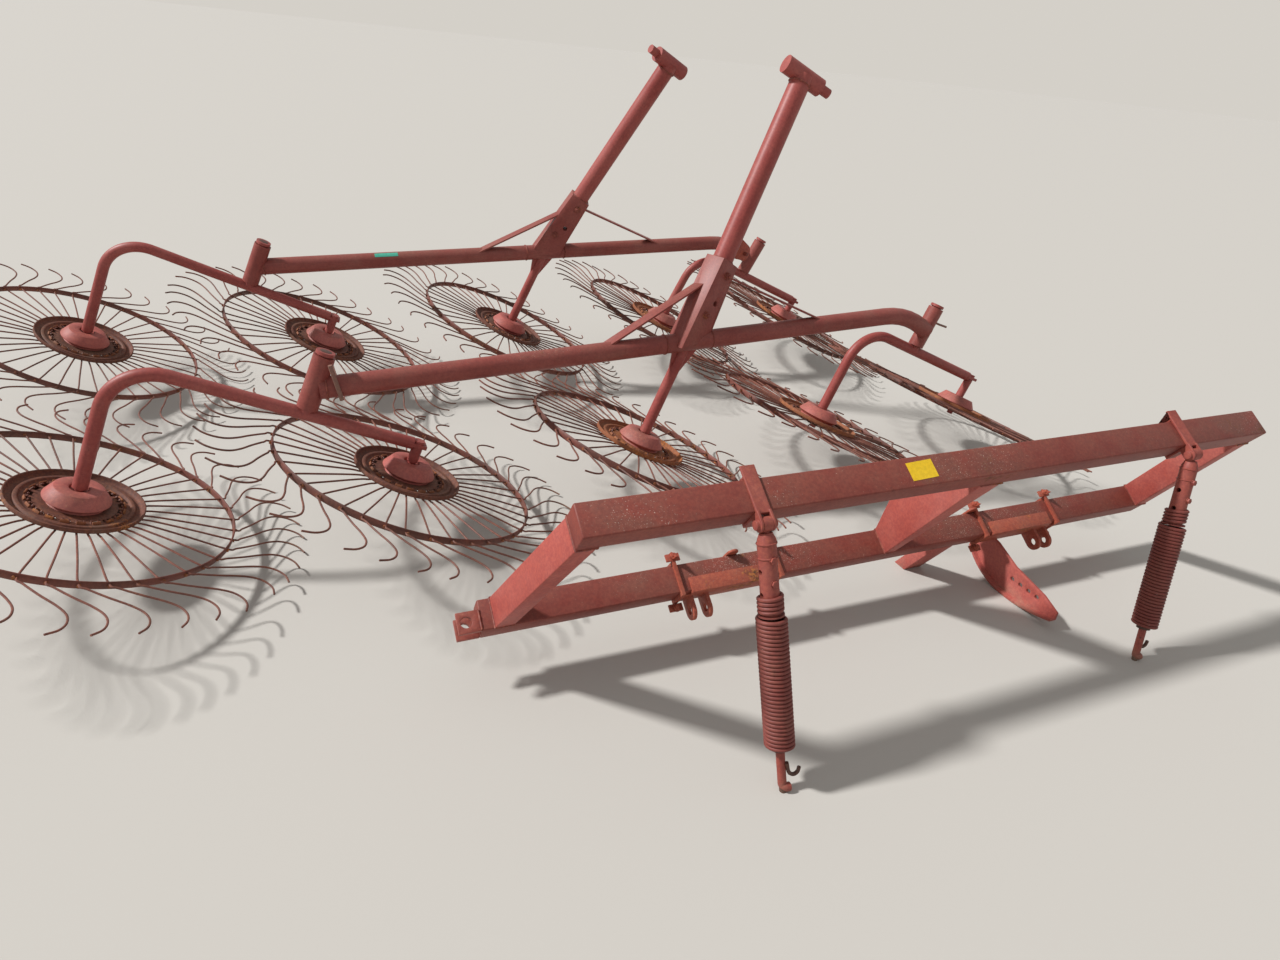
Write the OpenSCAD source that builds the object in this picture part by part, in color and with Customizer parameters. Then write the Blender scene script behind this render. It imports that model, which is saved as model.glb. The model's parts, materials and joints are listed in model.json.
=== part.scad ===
// Wheel hay rake, taken down: a hitch frame and two gangs of five finger wheels, resting on flat ground.
// Millimetres, +X along the beams, +Y away from the hitch frame, +Z up, floor at zero.

/* [Finger wheels] */
// Radius from the axle to the tips of the tines
tip_r = 750; // [700:5:790]
// Outside radius of the rim hoop
rim_r = 500; // [470:5:530]
// Height of the rim hoop along the axle
rim_h = 26; // [20:1:45]
// Thickness of the rim hoop
rim_t = 6; // [4:0.5:10]
// Number of tines on one wheel
tine_count = 40; // [20:2:40]
// Thickness of the tine wire
tine_d = 7; // [5:0.5:9]
// Outside radius of the pressed disc
disc_r = 207; // [180:1:240]
// Thickness of the pressed disc
disc_t = 8; // [5:0.5:12]
// Radius of the conical cap at its foot
cap_r = 102; // [90:1:130]
// Radius of the flat top of the cap
cap_top_r = 75; // [60:1:86]
// Height of the top of the cap over the middle of the rim
cap_up = 60; // [50:1:80]
// Height of the cap's edge over the disc
cap_foot = 20; // [10:1:30]
// Radius of the cap's neck at the disc
cap_neck_r = 84; // [76:1:90]
// Diameter of the wheel spindles
spindle_d = 30; // [24:1:36]

/* [Gang beams] */
// Outside diameter of the main beam of a gang
beam_d = 80; // [70:1:90]
// Distance from the mast foot to the left pivot sleeve along the beam
left_reach = 1504; // [1450:1:1560]
// Distance from the mast foot to the right pivot sleeve along the beam
right_reach = 1370; // [1340:1:1420]
// Drop of the beam's right end down to its sleeve
right_drop = 114; // [90:1:140]
// Radius of the bend at the beam's right end
beam_bend_r = 440; // [220:1:500]
// Lean of all axles and pivots towards the right end
axle_lean = 25; // [20:0.5:30]
// Outside diameter of the pivot sleeves
sleeve_d = 76; // [66:1:86]
// Length of a pivot sleeve
sleeve_len = 205; // [150:1:240]
// Height over the rocker tube's centre line at which the beam meets its sleeve
sleeve_mid = 104; // [90:1:130]
// How far the left sleeve's axis stands off the beam's centre line
left_pivot_off = 10; // [0:1:20]
// How far the right sleeve's axis stands off the beam's centre line
right_pivot_off = 24; // [10:1:30]
// Running clearance of pins and spindles on the radius
run_gap = 0.5; // [0.2:0.1:1]

/* [Rockers] */
// Outside diameter of the rocker tube
rocker_d = 48; // [40:1:56]
// Diameter of the pivot pin in its sleeve
pivot_d = 50; // [40:1:56]
// Radius of the rocker tube's bend
rocker_bend_r = 170; // [90:1:200]
// Left rocker, pivot to its far wheel
left_long = 601; // [540:1:640]
// Left rocker, pivot to its near wheel
left_short = 419; // [380:1:450]
// Right rocker, pivot to its inner wheel
right_inner = 357; // [330:1:400]
// Right rocker, pivot to its outer wheel
right_outer = 475; // [440:1:510]

/* [Masts] */
// Length of a mast from the beam's centre line to the cross tube
mast_len = 1180; // [1000:5:1300]
// Lean of a mast towards the right end
mast_lean = 30.5; // [20:0.5:40]
// Turn of a mast's lean away from the beam
mast_turn = 18; // [0:1:30]
// Outside diameter of the mast tube
mast_d = 88; // [60:1:95]
// Length of the folded socket over the beam's centre line
socket_len = 370; // [300:5:450]
// Width of the socket at the beam
socket_w = 170; // [120:5:220]
// Width of the socket at its top
socket_top_w = 104; // [100:1:130]
// Depth of the socket
socket_depth = 96; // [92:1:120]
// Outside diameter of the cross tube
tee_d = 72; // [60:1:90]
// Length of the cross tube
tee_len = 190; // [150:5:250]
// Turn of the cross tube about the mast
tee_turn = 156; // [140:1:180]
// Diameter of the pin in the cross tube
tee_pin_d = 40; // [30:1:50]
// How far the pin stands out of the cross tube
tee_pin_out = 48; // [20:1:80]
// Width of the flat braces
brace_w = 50; // [30:1:60]
// Thickness of the flat braces
brace_t = 8; // [6:1:12]
// Foot of the left brace along the beam
brace_left = 433; // [350:1:500]
// Foot of the right brace along the beam
brace_right = 748; // [650:1:820]

/* [Parked gangs] */
// Mast foot of the near gang across the row
near_x = 320; // [300:5:340]
// Mast foot of the near gang away from the row's middle
near_y = -377; // [-440:1:-360]
// Height of the near gang's beam at the mast
near_z = 742; // [700:1:800]
// Rise of the near gang's beam towards its right end
near_rise = 3.4; // [1:0.1:5]
// Roll of the near gang about its beam
near_roll = -1; // [-3:0.1:3]
// Mast foot of the far gang across the row
far_x = 200; // [150:5:250]
// Mast foot of the far gang away from the row's middle
far_y = 1138; // [1120:1:1300]
// Height of the far gang's beam at the mast
far_z = 759; // [700:1:820]
// Rise of the far gang's beam towards its right end
far_rise = 2.6; // [1:0.1:5]
// Roll of the far gang about its beam
far_roll = 7; // [4:0.1:9]
// Yaw of the far gang
far_yaw = -1; // [-3:0.1:3]
// Swing of the near gang's left rocker as parked
near_left_swing = -4.7; // [-12:0.1:12]
// Swing of the near gang's right rocker as parked
near_right_swing = -2.4; // [-12:0.1:12]
// Swing of the far gang's left rocker as parked
far_left_swing = 9.1; // [-12:0.1:12]
// Swing of the far gang's right rocker as parked
far_right_swing = 3.8; // [-12:0.1:12]

/* [Hitch frame] */
// Length of the top beam
top_len = 2714; // [2500:1:2900]
// Depth of the frame's box tubes, front to back
box_depth = 100; // [80:1:110]
// Height of the frame's box tubes
box_h = 80; // [70:1:90]
// Distance from the top beam's upper face to the lower beam's upper face
frame_drop = 637; // [600:1:680]
// How far the left strut's foot stands to the left of its head
left_slant = 127; // [90:1:160]
// How far the right strut's foot stands to the right of its head
right_slant = 98; // [70:1:130]
// How far the lower beam runs on to the left of the left strut's foot
lower_over = 40; // [20:1:60]
// Width of the end struts along the beams
strut_w = 62; // [50:1:80]
// Place of the centre strut along the top beam
centre_x = 1360; // [1300:1:1420]
// Width of the centre strut at its foot
centre_foot_w = 45; // [40:1:80]
// Width of the centre strut at its head
centre_head_w = 92; // [60:1:120]
// Depth of the centre strut where it bulges backward
centre_flare = 200; // [120:5:230]
// Distance of that bulge below the top beam's upper face
centre_flare_drop = 390; // [300:5:450]
// Width of the stand leg below the lower beam
stand_leg_w = 90; // [60:1:120]
// Depth of the stand leg
stand_leg_depth = 50; // [40:1:80]
// Place of the stand leg along the frame
stand_leg_x = 1665; // [1600:1:1750]
// Lean of the hitch frame towards the front
frame_lean = 34.1; // [32:0.1:36]
// Rise of the hitch frame towards its right end
frame_rise = 0.5; // [0:0.1:1]
// Yaw of the hitch frame
frame_yaw = -2; // [-4:0.1:2]
// Left end of the top beam across the row
frame_x = -690; // [-750:1:-650]
// Front edge of the top beam from the row's middle
frame_y = -1721; // [-1800:1:-1715]
// Height of the top beam's front upper edge
frame_z = 762; // [740:1:780]

/* [Hitch brackets] */
// Left end of the left bracket along the frame
hitch_left = 503; // [480:1:520]
// Left end of the right bracket along the frame
hitch_right = 1860; // [1830:1:1880]
// Length of a hitch bracket over its two clamps
hitch_len = 402; // [380:1:440]
// Thickness of the clamp bars and ears
hitch_t = 12; // [8:1:16]
// How far the clamp bars stand off the beam
clamp_h = 12; // [8:1:18]
// Width of the pad plate on the beam's upper face
pad_w = 45; // [30:1:60]
// Thickness of the pad plate
pad_t = 8; // [5:1:10]
// Diameter of the clamp bolts
clamp_bolt_d = 14; // [10:1:16]
// Diameter of the link pin bores
link_bore_d = 28.7; // [22.4:0.1:30]
// Gap between the two ears of a link clevis
link_gap = 48; // [40:1:70]
// Distance of the left link bores in front of the lower beam
left_link_front = 50; // [44:1:70]
// Distance of the right link bores in front of the lower beam
right_link_front = 53; // [44:1:70]
// Radius of the ears round their bores
ear_r = 34; // [28:1:38]

/* [End lugs] */
// Diameter of the pin holes in the end lugs
lug_bore_d = 36; // [24:1:40]
// Thickness of a lug plate
lug_t = 14; // [10:1:20]
// Distance of the pin hole from the end of the lower beam
lug_out = 42; // [40:1:60]
// Distance of the pin hole behind the frame's front faces
lug_y = 35; // [32:1:60]
// Width of the lug plates
lug_w = 68; // [60:1:80]
// How far the lug plates run on past their holes
lug_end = 28; // [26:1:36]

/* [Spring struts] */
// Place of the left spring strut along the frame
spring_left = 512; // [500:1:530]
// Place of the right spring strut along the frame
spring_right = 2272; // [2250:1:2290]
// Left spring strut's foot across the row
left_foot_x = -150; // [-200:1:-100]
// Left spring strut's foot from the row's middle
left_foot_y = -2037; // [-2100:1:-1980]
// Right spring strut's foot across the row
right_foot_x = 1459; // [1400:1:1520]
// Right spring strut's foot from the row's middle
right_foot_y = -2003; // [-2070:1:-1950]
// Distance of the strut's bolt in front of the top beam
bolt_front = 34; // [32:1:40]
// Distance of the strut's bolt below the top beam's upper face
bolt_down = 10; // [5:1:20]
// Diameter of the strut's bolt
strap_bolt_d = 16; // [12:1:20]
// Diameter of the strut's neck below its eye
neck_d = 22; // [18:1:23]
// Diameter of the upper tube
spring_tube_d = 54; // [48:1:58]
// Length from the bolt to the upper tube's shoulder
neck_len = 50; // [40:1:70]
// Length from the bolt to the upper tube's lower end
spring_tube_len = 255; // [230:5:280]
// Outside diameter of the coil spring
coil_d = 90; // [80:1:96]
// Diameter of the spring wire
coil_wire_d = 12; // [10:0.5:13]
// Number of turns of the spring
coil_turns = 33; // [28:1:34]
// Diameter of the foot rod
foot_rod_d = 20; // [16:1:26]
// Width of the strap round the top beam
strap_w = 46; // [44:1:52]
// Thickness of the strap
strap_t = 8; // [6:1:8]

/* [Hole bar] */
// Place of the hole bar along the frame
hole_bar_x = 1990; // [1960:1:2050]
// Length of the hole bar in front of its clamp bolt
hole_bar_len = 372; // [340:1:400]
// Width of the hole bar at its root
hole_bar_w = 130; // [110:1:140]
// Width of the hole bar at its tip
hole_bar_tip_w = 34; // [28:1:45]
// Thickness of the hole bar
hole_bar_t = 12; // [8:1:16]
// Width of the flange along the hole bar's lower edge
hole_bar_flange = 34; // [20:1:45]
// Number of setting holes
hole_bar_holes = 4; // [3:1:5]
// Diameter of the setting holes
hole_bar_hole_d = 20; // [14:1:22]
// Distance between two setting holes
hole_bar_pitch = 42; // [36:1:46]

/* [Hidden] */
$fn = 48;

faded_red = [0.72, 0.33, 0.30];
rusty_red = [0.45, 0.24, 0.21];
rust = [0.36, 0.20, 0.15];

// Middle of the whole part in the row
mid_x = -35;
mid_y = 3;

// Gang poses: mast foot x, y, z, rise, roll, yaw, mirror sign of y, left swing, right swing
NEAR = [near_x, near_y, near_z, near_rise, near_roll, 0, 1, near_left_swing, near_right_swing];
FAR = [far_x, far_y, far_z, far_rise, far_roll, far_yaw, -1, far_left_swing, far_right_swing];

function rise(g) = g[3];
function roll(g) = g[4];
// Height over the floor of a point given in a gang's own frame, before mirroring
function height(g, p) =
  g[2] + p[0] * sin(rise(g)) + (g[6] * p[1] * sin(roll(g)) + p[2] * cos(roll(g))) * cos(rise(g));
// Upward part of the axle direction
function axle_up(g) = sin(axle_lean) * sin(rise(g)) + cos(axle_lean) * cos(roll(g)) * cos(rise(g));
// Height of a cap's top when the wheel's lowest tine tips touch the floor
function cap_height(g) = tip_reach * sqrt(1 - pow(axle_up(g), 2)) + (cap_up + tine_d / 2) * axle_up(g);
// Point at distance d along a rocker that swings by s about its pivot p
function along(p, d, s) =
  [p[0] + d * cos(s) * cos(axle_lean), p[1] + d * sin(s), p[2] - d * cos(s) * sin(axle_lean)];
function drop(g, p) = (height(g, p) - cap_height(g)) / axle_up(g);

// Pivots at the rocker tubes' centre lines
left_pivot = [-left_reach - sleeve_mid * sin(axle_lean), left_pivot_off, -sleeve_mid * cos(axle_lean)];
right_pivot = [right_reach - sleeve_mid * sin(axle_lean), right_pivot_off,
  -right_drop - sleeve_mid * cos(axle_lean)];
beam_turn = acos(1 - right_drop / beam_bend_r);
bend_start = right_reach - beam_bend_r * sin(beam_turn);
// The beam's ends stop inside the sleeves' walls
weld_depth = 15;
bend_turn = beam_turn - weld_depth / beam_bend_r * 180 / PI;
bend_lap = 2;

module row() translate([-mid_x, -mid_y, 0]) children();
module gang(g) row() translate([g[0], g[1], g[2]]) rotate([roll(g), -rise(g), g[5]])
  mirror([0, g[6] < 0 ? 1 : 0, 0]) children();
module axle(p, s) translate(p) rotate([0, axle_lean, 0]) rotate([0, 0, s]) children();
module mast_frame() rotate([0, mast_lean, mast_turn]) children();
module headstock() row() translate([frame_x, frame_y, frame_z])
  rotate([frame_lean, -frame_rise, frame_yaw]) children();
module box(size, at) translate(at) cube(size);
module rod(d, len) cylinder(h = len, d = d);
module rod_x(d, len) rotate([0, 90, 0]) cylinder(h = len, d = d);

// Wheel, its axis along z, the middle of the rim at zero
// Radius and angle along a tine: under the disc's bead, past the rim, swept aside, hooked back at the tip
tip_turn = 11;
tine_path = [[disc_r - 20, 0], [rim_r, 0], [rim_r + 25, 2.5], [rim_r + 70, 7.8], [rim_r + 110, 12],
  [rim_r + 150, 14.4], [rim_r + 205, 14.2], [tip_r, tip_turn]];
function polar(r, a) = [r * cos(a), r * sin(a)];
function path_xy(i) = polar(tine_path[i][0], tine_path[i][1]);
function unit(v) = v / norm(v);
function normal_at(i) =
  let (last = len(tine_path) - 1, t = unit(path_xy(min(i + 1, last)) - path_xy(max(i - 1, 0))))
  [-t[1], t[0]];
tine_outline = concat(
  [for (i = [0 : len(tine_path) - 1]) path_xy(i) + normal_at(i) * tine_d / 2],
  [for (i = [len(tine_path) - 1 : -1 : 0]) path_xy(i) - normal_at(i) * tine_d / 2]);
tip_reach = max([for (p = tine_outline) norm(p)]);

module tine() polygon(tine_outline);
hub_r = 46;
hub_low = 30;
bead_h = 18;
// Disc with its bead, hub below and undercut cap above
module disc_and_cap() rotate_extrude() polygon([
  [spindle_d / 2 + run_gap, -hub_low], [hub_r, -hub_low], [hub_r, -disc_t], [disc_r - 14, -disc_t],
  [disc_r, 2], [disc_r, bead_h], [disc_r - 8, bead_h], [disc_r - 18, 0], [cap_neck_r, 0], [cap_r, cap_foot],
  [cap_top_r, cap_up], [spindle_d / 2 + run_gap, cap_up]]);
module rim() rotate_extrude() translate([rim_r - rim_t, -rim_h / 2]) square([rim_t, rim_h]);
module wheel_solid() {
  disc_and_cap();
  rim();
  translate([0, 0, -tine_d / 2]) linear_extrude(height = tine_d)
    for (i = [0 : tine_count - 1]) rotate(i * 360 / tine_count - tip_turn) tine();
}
module wheel_at(p, s, d) axle(p, s) translate([0, 0, -d - cap_up]) rotate(-s) wheel_solid();

// Wheel places in a gang: pivot, distance along the rocker, swing
function left_swing(g) = g[7];
function right_swing(g) = g[8];
module wheel(g, n) color(rust) gang(g) {
  if (n == 1) wheel_hub(g, left_pivot, -left_long, left_swing(g));
  if (n == 2) wheel_hub(g, left_pivot, left_short, left_swing(g));
  if (n == 3) wheel_hub(g, [0, 0, 0], 0, 0);
  if (n == 4) wheel_hub(g, right_pivot, -right_inner, right_swing(g));
  if (n == 5) wheel_hub(g, right_pivot, right_outer, right_swing(g));
}
module wheel_hub(g, pivot, along_d, swing)
  wheel_at(along(pivot, along_d, swing), 0, drop(g, along(pivot, along_d, swing)));

// How far a spindle runs on below the middle of its rim
spindle_below = 45;
// Lap of a spindle or boss into the tube over it
lap = 1;
// Running gap between a cap and the leg that stands on it
cap_gap = 0.4;
// Plate under the rocker's straight end, and the boss round its spindle
end_plate = [70, 50, 14];
end_plate_back = 40;
end_boss_w = 12;
end_boss_up = 18;
// Pivot pin over the sleeve, and its washer
pin_over = 42;
washer_w = 16;
washer_t = 12;
// Rocker in its pivot's frame: tube along x, leg down at the bent end, short spindle at the other
module bent_end(len, d, leg) {
  rotate([0, -90, 0]) rod(d, len - rocker_bend_r);
  translate([-(len - rocker_bend_r), 0, -rocker_bend_r]) rotate([90, 0, 0]) rotate([0, 0, 90])
    rotate_extrude(angle = 90) translate([rocker_bend_r, 0]) circle(d = d);
  translate([-len, 0, -leg]) rod(d, leg - rocker_bend_r);
  translate([-len, 0, -leg - cap_up - spindle_below]) rod(spindle_d, cap_up + spindle_below + lap);
}
module straight_end(len, d, leg) {
  rod_x(d, len - end_plate_back / 2);
  translate([len - end_plate_back, -end_plate[1] / 2, -end_plate[2] / 2]) cube(end_plate);
  translate([len, 0, -leg + cap_gap]) rod(spindle_d + end_boss_w, leg + end_boss_up);
  translate([len, 0, -leg - cap_up - spindle_below]) rod(spindle_d, cap_up + spindle_below + lap + leg);
}
module rocker(long, short, long_leg, short_leg) {
  bent_end(long, rocker_d, long_leg - cap_gap);
  straight_end(short, rocker_d, short_leg);
  rod(pivot_d, sleeve_len + pin_over);
  translate([0, 0, sleeve_len + pin_over - washer_t]) rod(pivot_d + washer_w, washer_t);
}
module rocker_at(g, pivot, swing, long, short) color(faded_red) gang(g) axle(pivot, swing)
  rocker(long, short, drop(g, along(pivot, -long, swing)), drop(g, along(pivot, short, swing)));
module left_rocker(g) rocker_at(g, left_pivot, left_swing(g), left_long, left_short);
module right_rocker(g) rocker_at(g, right_pivot, right_swing(g), right_inner, right_outer);

// Main beam with its two pivot sleeves
module sleeve(p) axle(p, 0) translate([0, 0, rocker_d / 2 + 1]) rod(sleeve_d, sleeve_len);
module sleeve_bore(p) axle(p, 0) translate([0, 0, -10]) rod(pivot_d + 2 * run_gap, sleeve_len + 60);
module beam_round() translate([weld_depth - left_reach, 0, 0])
  rod_x(beam_d, left_reach - weld_depth + bend_start + bend_lap);
module beam_bars() {
  beam_round();
  translate([bend_start, 0, -beam_bend_r]) rotate([90, 0, 0]) rotate([0, 0, 90 - bend_turn])
    rotate_extrude(angle = bend_turn) translate([beam_bend_r, 0]) circle(d = beam_d);
}
module beam(g) color(faded_red) gang(g) difference() {
  union() {
    beam_bars();
    sleeve(left_pivot);
    sleeve(right_pivot);
  }
  sleeve_bore(left_pivot);
  sleeve_bore(right_pivot);
}

// Mast: folded socket on the beam, tube and cross tube
// Foot of the socket, level with the beam, in the mast's leaning frame
socket_foot = socket_w / 2 * cos(mast_turn) * [cos(mast_lean), sin(mast_lean)];
// Length of the mast tube inside the socket
mast_seat = 120;
// Hole through the socket: place across, place up, diameter
socket_hole = [15, 190, 24];
module socket_block(depth) mast_frame() translate([0, depth / 2, 0]) rotate([90, 0, 0])
  linear_extrude(height = depth)
  polygon([-socket_foot, socket_foot, [socket_top_w / 2, socket_len], [-socket_top_w / 2, socket_len]]);
module socket(g) color(faded_red) gang(g) difference() {
  socket_block(socket_depth);
  mast_frame() translate([0, 0, socket_len - mast_seat]) rod(mast_d, 2 * mast_seat);
  mast_frame() translate([socket_hole[0], -socket_depth, socket_hole[1]]) rotate([-90, 0, 0])
    rod(socket_hole[2], 2 * socket_depth);
  beam_round();
}
module mast(g) color(faded_red) gang(g) mast_frame() {
  translate([0, 0, socket_len - mast_seat]) rod(mast_d, mast_len - socket_len + mast_seat);
  translate([0, 0, mast_len]) rotate([0, 0, tee_turn]) {
    translate([-tee_len / 2, 0, 0]) rod_x(tee_d, tee_len);
    translate([(g[6] > 0 ? -tee_pin_out : 0) - tee_len / 2, 0, 0]) rod_x(tee_pin_d, tee_len + tee_pin_out);
  }
}
brace_head = 0.86 * socket_len;
module brace(foot) {
  head = brace_head * [sin(mast_lean) * cos(mast_turn), sin(mast_lean) * sin(mast_turn), cos(mast_lean)];
  v = head - [foot, 0, 0];
  translate([foot, 0, 0]) rotate([0, acos(v[2] / norm(v)), atan2(v[1], v[0])])
    translate([-brace_t / 2, -brace_w / 2, 0]) cube([brace_t, brace_w, norm(v)]);
}
module braces(g) color(faded_red) gang(g) difference() {
  union() {
    brace(-brace_left);
    brace(brace_right);
  }
  beam_round();
  socket_block(socket_depth);
}
// Gusset beside the middle leg: half width at the beam, half width at its foot, length, thickness
gusset = [65, 14, 170, 10];
module centre_spindle(g) color(faded_red) gang(g) difference() {
  d = drop(g, [0, 0, 0]);
  axle([0, 0, 0], 0) {
    translate([0, 0, cap_gap - d]) rod(rocker_d, d);
    translate([0, 0, -d - cap_up - spindle_below]) rod(spindle_d, cap_up + spindle_below + 5 * lap);
    translate([0, gusset[3] / 2, 0]) rotate([90, 0, 0]) linear_extrude(height = gusset[3])
      polygon([[-gusset[0], 0], [gusset[0], 0], [gusset[1], -gusset[2]], [-gusset[1], -gusset[2]]]);
  }
  beam_round();
}

// Hitch frame, in its own leaning frame: x along the beams, y through its depth, z up its height
lower_left = -left_slant - lower_over;
lower_right = top_len + right_slant;
function lean_point(p) =
  [p[0], p[1] * cos(frame_lean) - p[2] * sin(frame_lean), p[1] * sin(frame_lean) + p[2] * cos(frame_lean)];
function rise_point(p) =
  [p[0] * cos(frame_rise) - p[2] * sin(frame_rise), p[1], p[0] * sin(frame_rise) + p[2] * cos(frame_rise)];
function yaw_point(p) =
  [p[0] * cos(frame_yaw) - p[1] * sin(frame_yaw), p[0] * sin(frame_yaw) + p[1] * cos(frame_yaw), p[2]];
function row_point(p) = [frame_x, frame_y, frame_z] + yaw_point(rise_point(lean_point(p)));
floor_side = 8000;
module under_floor() translate([-floor_side / 2, -floor_side / 2, -floor_side]) cube(floor_side);
// Outline in the x-z plane, extruded through the depth; and outline in the y-z plane, extruded along x
module front_view(depth) translate([0, depth, 0]) rotate([90, 0, 0])
  linear_extrude(height = depth) children();
module side_view(width) rotate([90, 0, 90]) linear_extrude(height = width) children();

module top_beam() color(rusty_red) headstock() box([top_len, box_depth, box_h], [0, 0, -box_h]);
module lower_beam() color(rusty_red) headstock()
  box([lower_right - lower_left, box_depth, box_h], [lower_left, 0, -frame_drop - box_h]);
module strut_outline(head_x, head_w, foot_x, foot_w)
  polygon([[head_x, -box_h], [head_x + head_w, -box_h],
    [foot_x + foot_w, -frame_drop], [foot_x, -frame_drop]]);
module left_strut() color(faded_red) headstock() front_view(box_depth)
  strut_outline(0, strut_w, -left_slant, strut_w);
module right_strut() color(faded_red) headstock() front_view(box_depth)
  strut_outline(top_len - strut_w, strut_w, lower_right - strut_w, strut_w);
module centre_strut() color(faded_red) headstock() intersection() {
  front_view(centre_flare) strut_outline(centre_x, centre_head_w, centre_x, centre_foot_w);
  translate([centre_x, 0, 0]) side_view(centre_head_w) polygon([
    [0, -frame_drop], [0, -box_h], [box_depth, -box_h],
    [centre_flare, -centre_flare_drop], [box_depth, -frame_drop]]);
}
// Channel that the frame rests on, cut off at the floor
stand_leg_t = 10;
stand_leg_len = frame_z;
module stand_leg() color(faded_red) difference() {
  headstock() translate([stand_leg_x, 0, -frame_drop - box_h - stand_leg_len]) difference() {
    cube([stand_leg_w, stand_leg_depth, stand_leg_len]);
    translate([stand_leg_t, stand_leg_t, -1])
      cube([stand_leg_w - 2 * stand_leg_t, stand_leg_depth, stand_leg_len + 2]);
  }
  under_floor();
}

module lug_plate(z) translate([0, lug_y, z]) difference() {
  translate([-lug_end, -lug_w / 2, 0]) cube([lug_end + lug_out, lug_w, lug_t]);
  translate([0, 0, -1]) cylinder(h = lug_t + 2, d = lug_bore_d);
}
module left_lug() color(faded_red) headstock() translate([lower_left - lug_out, 0, 0]) {
  lug_plate(-frame_drop - box_h);
  lug_plate(-frame_drop - lug_t);
}

// Hitch bracket: two clamp bars round the lower beam, a pad on it and a clevis for the link in front
link_down = box_h - 17;
ear_inset = 30;
pad_len = hitch_len - 2 * ear_inset - 2 * hitch_t;
web_h = 56;
web_drop = 4;
clamp_bolt_out = 10;
tab_l = 50;
tab_w = 26;
tab_t = 8;
module ear(x, front) translate([x, 0, 0]) side_view(hitch_t) difference() {
  union() {
    translate([-front, -link_down]) circle(r = ear_r);
    translate([-front, -link_down - ear_r]) square([front, 2 * ear_r]);
  }
  translate([-front, -link_down]) circle(d = link_bore_d);
}
module clamp(x) translate([x, 0, 0]) {
  box([hitch_t, box_depth + 2 * clamp_h, box_h + 2 * clamp_h], [0, -clamp_h, -box_h - clamp_h]);
  box([tab_l, tab_w, tab_t], [(hitch_t - tab_l) / 2, box_depth + clamp_h - 1, clamp_h - tab_t]);
  box([tab_l, tab_w, tab_t], [(hitch_t - tab_l) / 2, -clamp_h - tab_w + 1, -box_h - clamp_h]);
  for (p = [[box_depth + clamp_h + tab_w / 2, clamp_h - tab_t], [-clamp_h - tab_w / 2, -box_h - clamp_h]])
    translate([hitch_t / 2, p[0], p[1] - clamp_bolt_out]) rod(clamp_bolt_d, tab_t + 2 * clamp_bolt_out);
}
// Bracket with its clevis near its left end; the right one is its mirror image
module bracket(front) difference() {
  union() {
    clamp(0);
    clamp(hitch_len - hitch_t);
    box([hitch_len, pad_t, web_h], [0, -pad_t, -box_h + web_drop]);
    box([pad_len, pad_t + pad_w, pad_t], [ear_inset + hitch_t, -pad_t, 0]);
    box([pad_len, pad_t, box_h], [ear_inset + hitch_t, -pad_t, -box_h + web_drop]);
    ear(hitch_t + ear_inset, front);
    ear(2 * hitch_t + ear_inset + link_gap, front);
  }
  box([hitch_len + 2, box_depth, box_h], [-1, 0, -box_h]);
}
module left_hitch() color(rusty_red) headstock() translate([hitch_left, 0, -frame_drop])
  bracket(left_link_front);
module right_hitch() color(rusty_red) headstock() translate([hitch_right + hitch_len, 0, -frame_drop])
  mirror([1, 0, 0]) bracket(right_link_front);

// Hole bar: upright plate under the lower beam that curves forward with its belly on the floor
bar_root = row_point([hole_bar_x, 0, -frame_drop - box_h]);
belly_at = 140;
belly_back_r = 300;
belly_front_r = 700;
bar_heel = -85;
hole_height = 78;
first_hole = 146;
function arc_rise(r, d) = r - sqrt(r * r - d * d);
function belly(u) = arc_rise(u < belly_at ? belly_back_r : belly_front_r, u - belly_at);
bar_steps = 14;
// Gap between the bar and the lower beam that it is held under
bar_gap = 0.4;
bar_top = bar_root[2] - bar_gap;
bar_back = 60;
// Upper edge near the tip and just in front of the lower beam: distance forward, height or drop
tip_shoulder = [298, 104];
root_shoulder = [30, 6];
belly_line = [for (i = [0 : bar_steps])
  let (u = bar_heel + i * (hole_bar_len - bar_heel) / bar_steps) [u, belly(u)]];
bar_outline = concat(belly_line, [
  [hole_bar_len, belly(hole_bar_len) + hole_bar_tip_w], tip_shoulder, [belly_at, hole_bar_w + 4],
  [root_shoulder[0], bar_top - root_shoulder[1]], [0, bar_top],
  [-bar_back, bar_top + bar_back * tan(frame_lean)]]);
flange_outline = concat(belly_line, [for (i = [bar_steps : -1 : 0]) belly_line[i] + [0, hole_bar_t]]);
module hole_bar() color(faded_red) row() translate([bar_root[0], bar_root[1], 0])
  rotate([90, 0, frame_yaw - 90]) difference() {
    union() {
      linear_extrude(height = hole_bar_t) polygon(bar_outline);
      linear_extrude(height = hole_bar_flange) polygon(flange_outline);
    }
    for (i = [0 : hole_bar_holes - 1])
      translate([first_hole + i * hole_bar_pitch, hole_height, -1])
        cylinder(h = hole_bar_t + 2, d = hole_bar_hole_d);
  }

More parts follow.
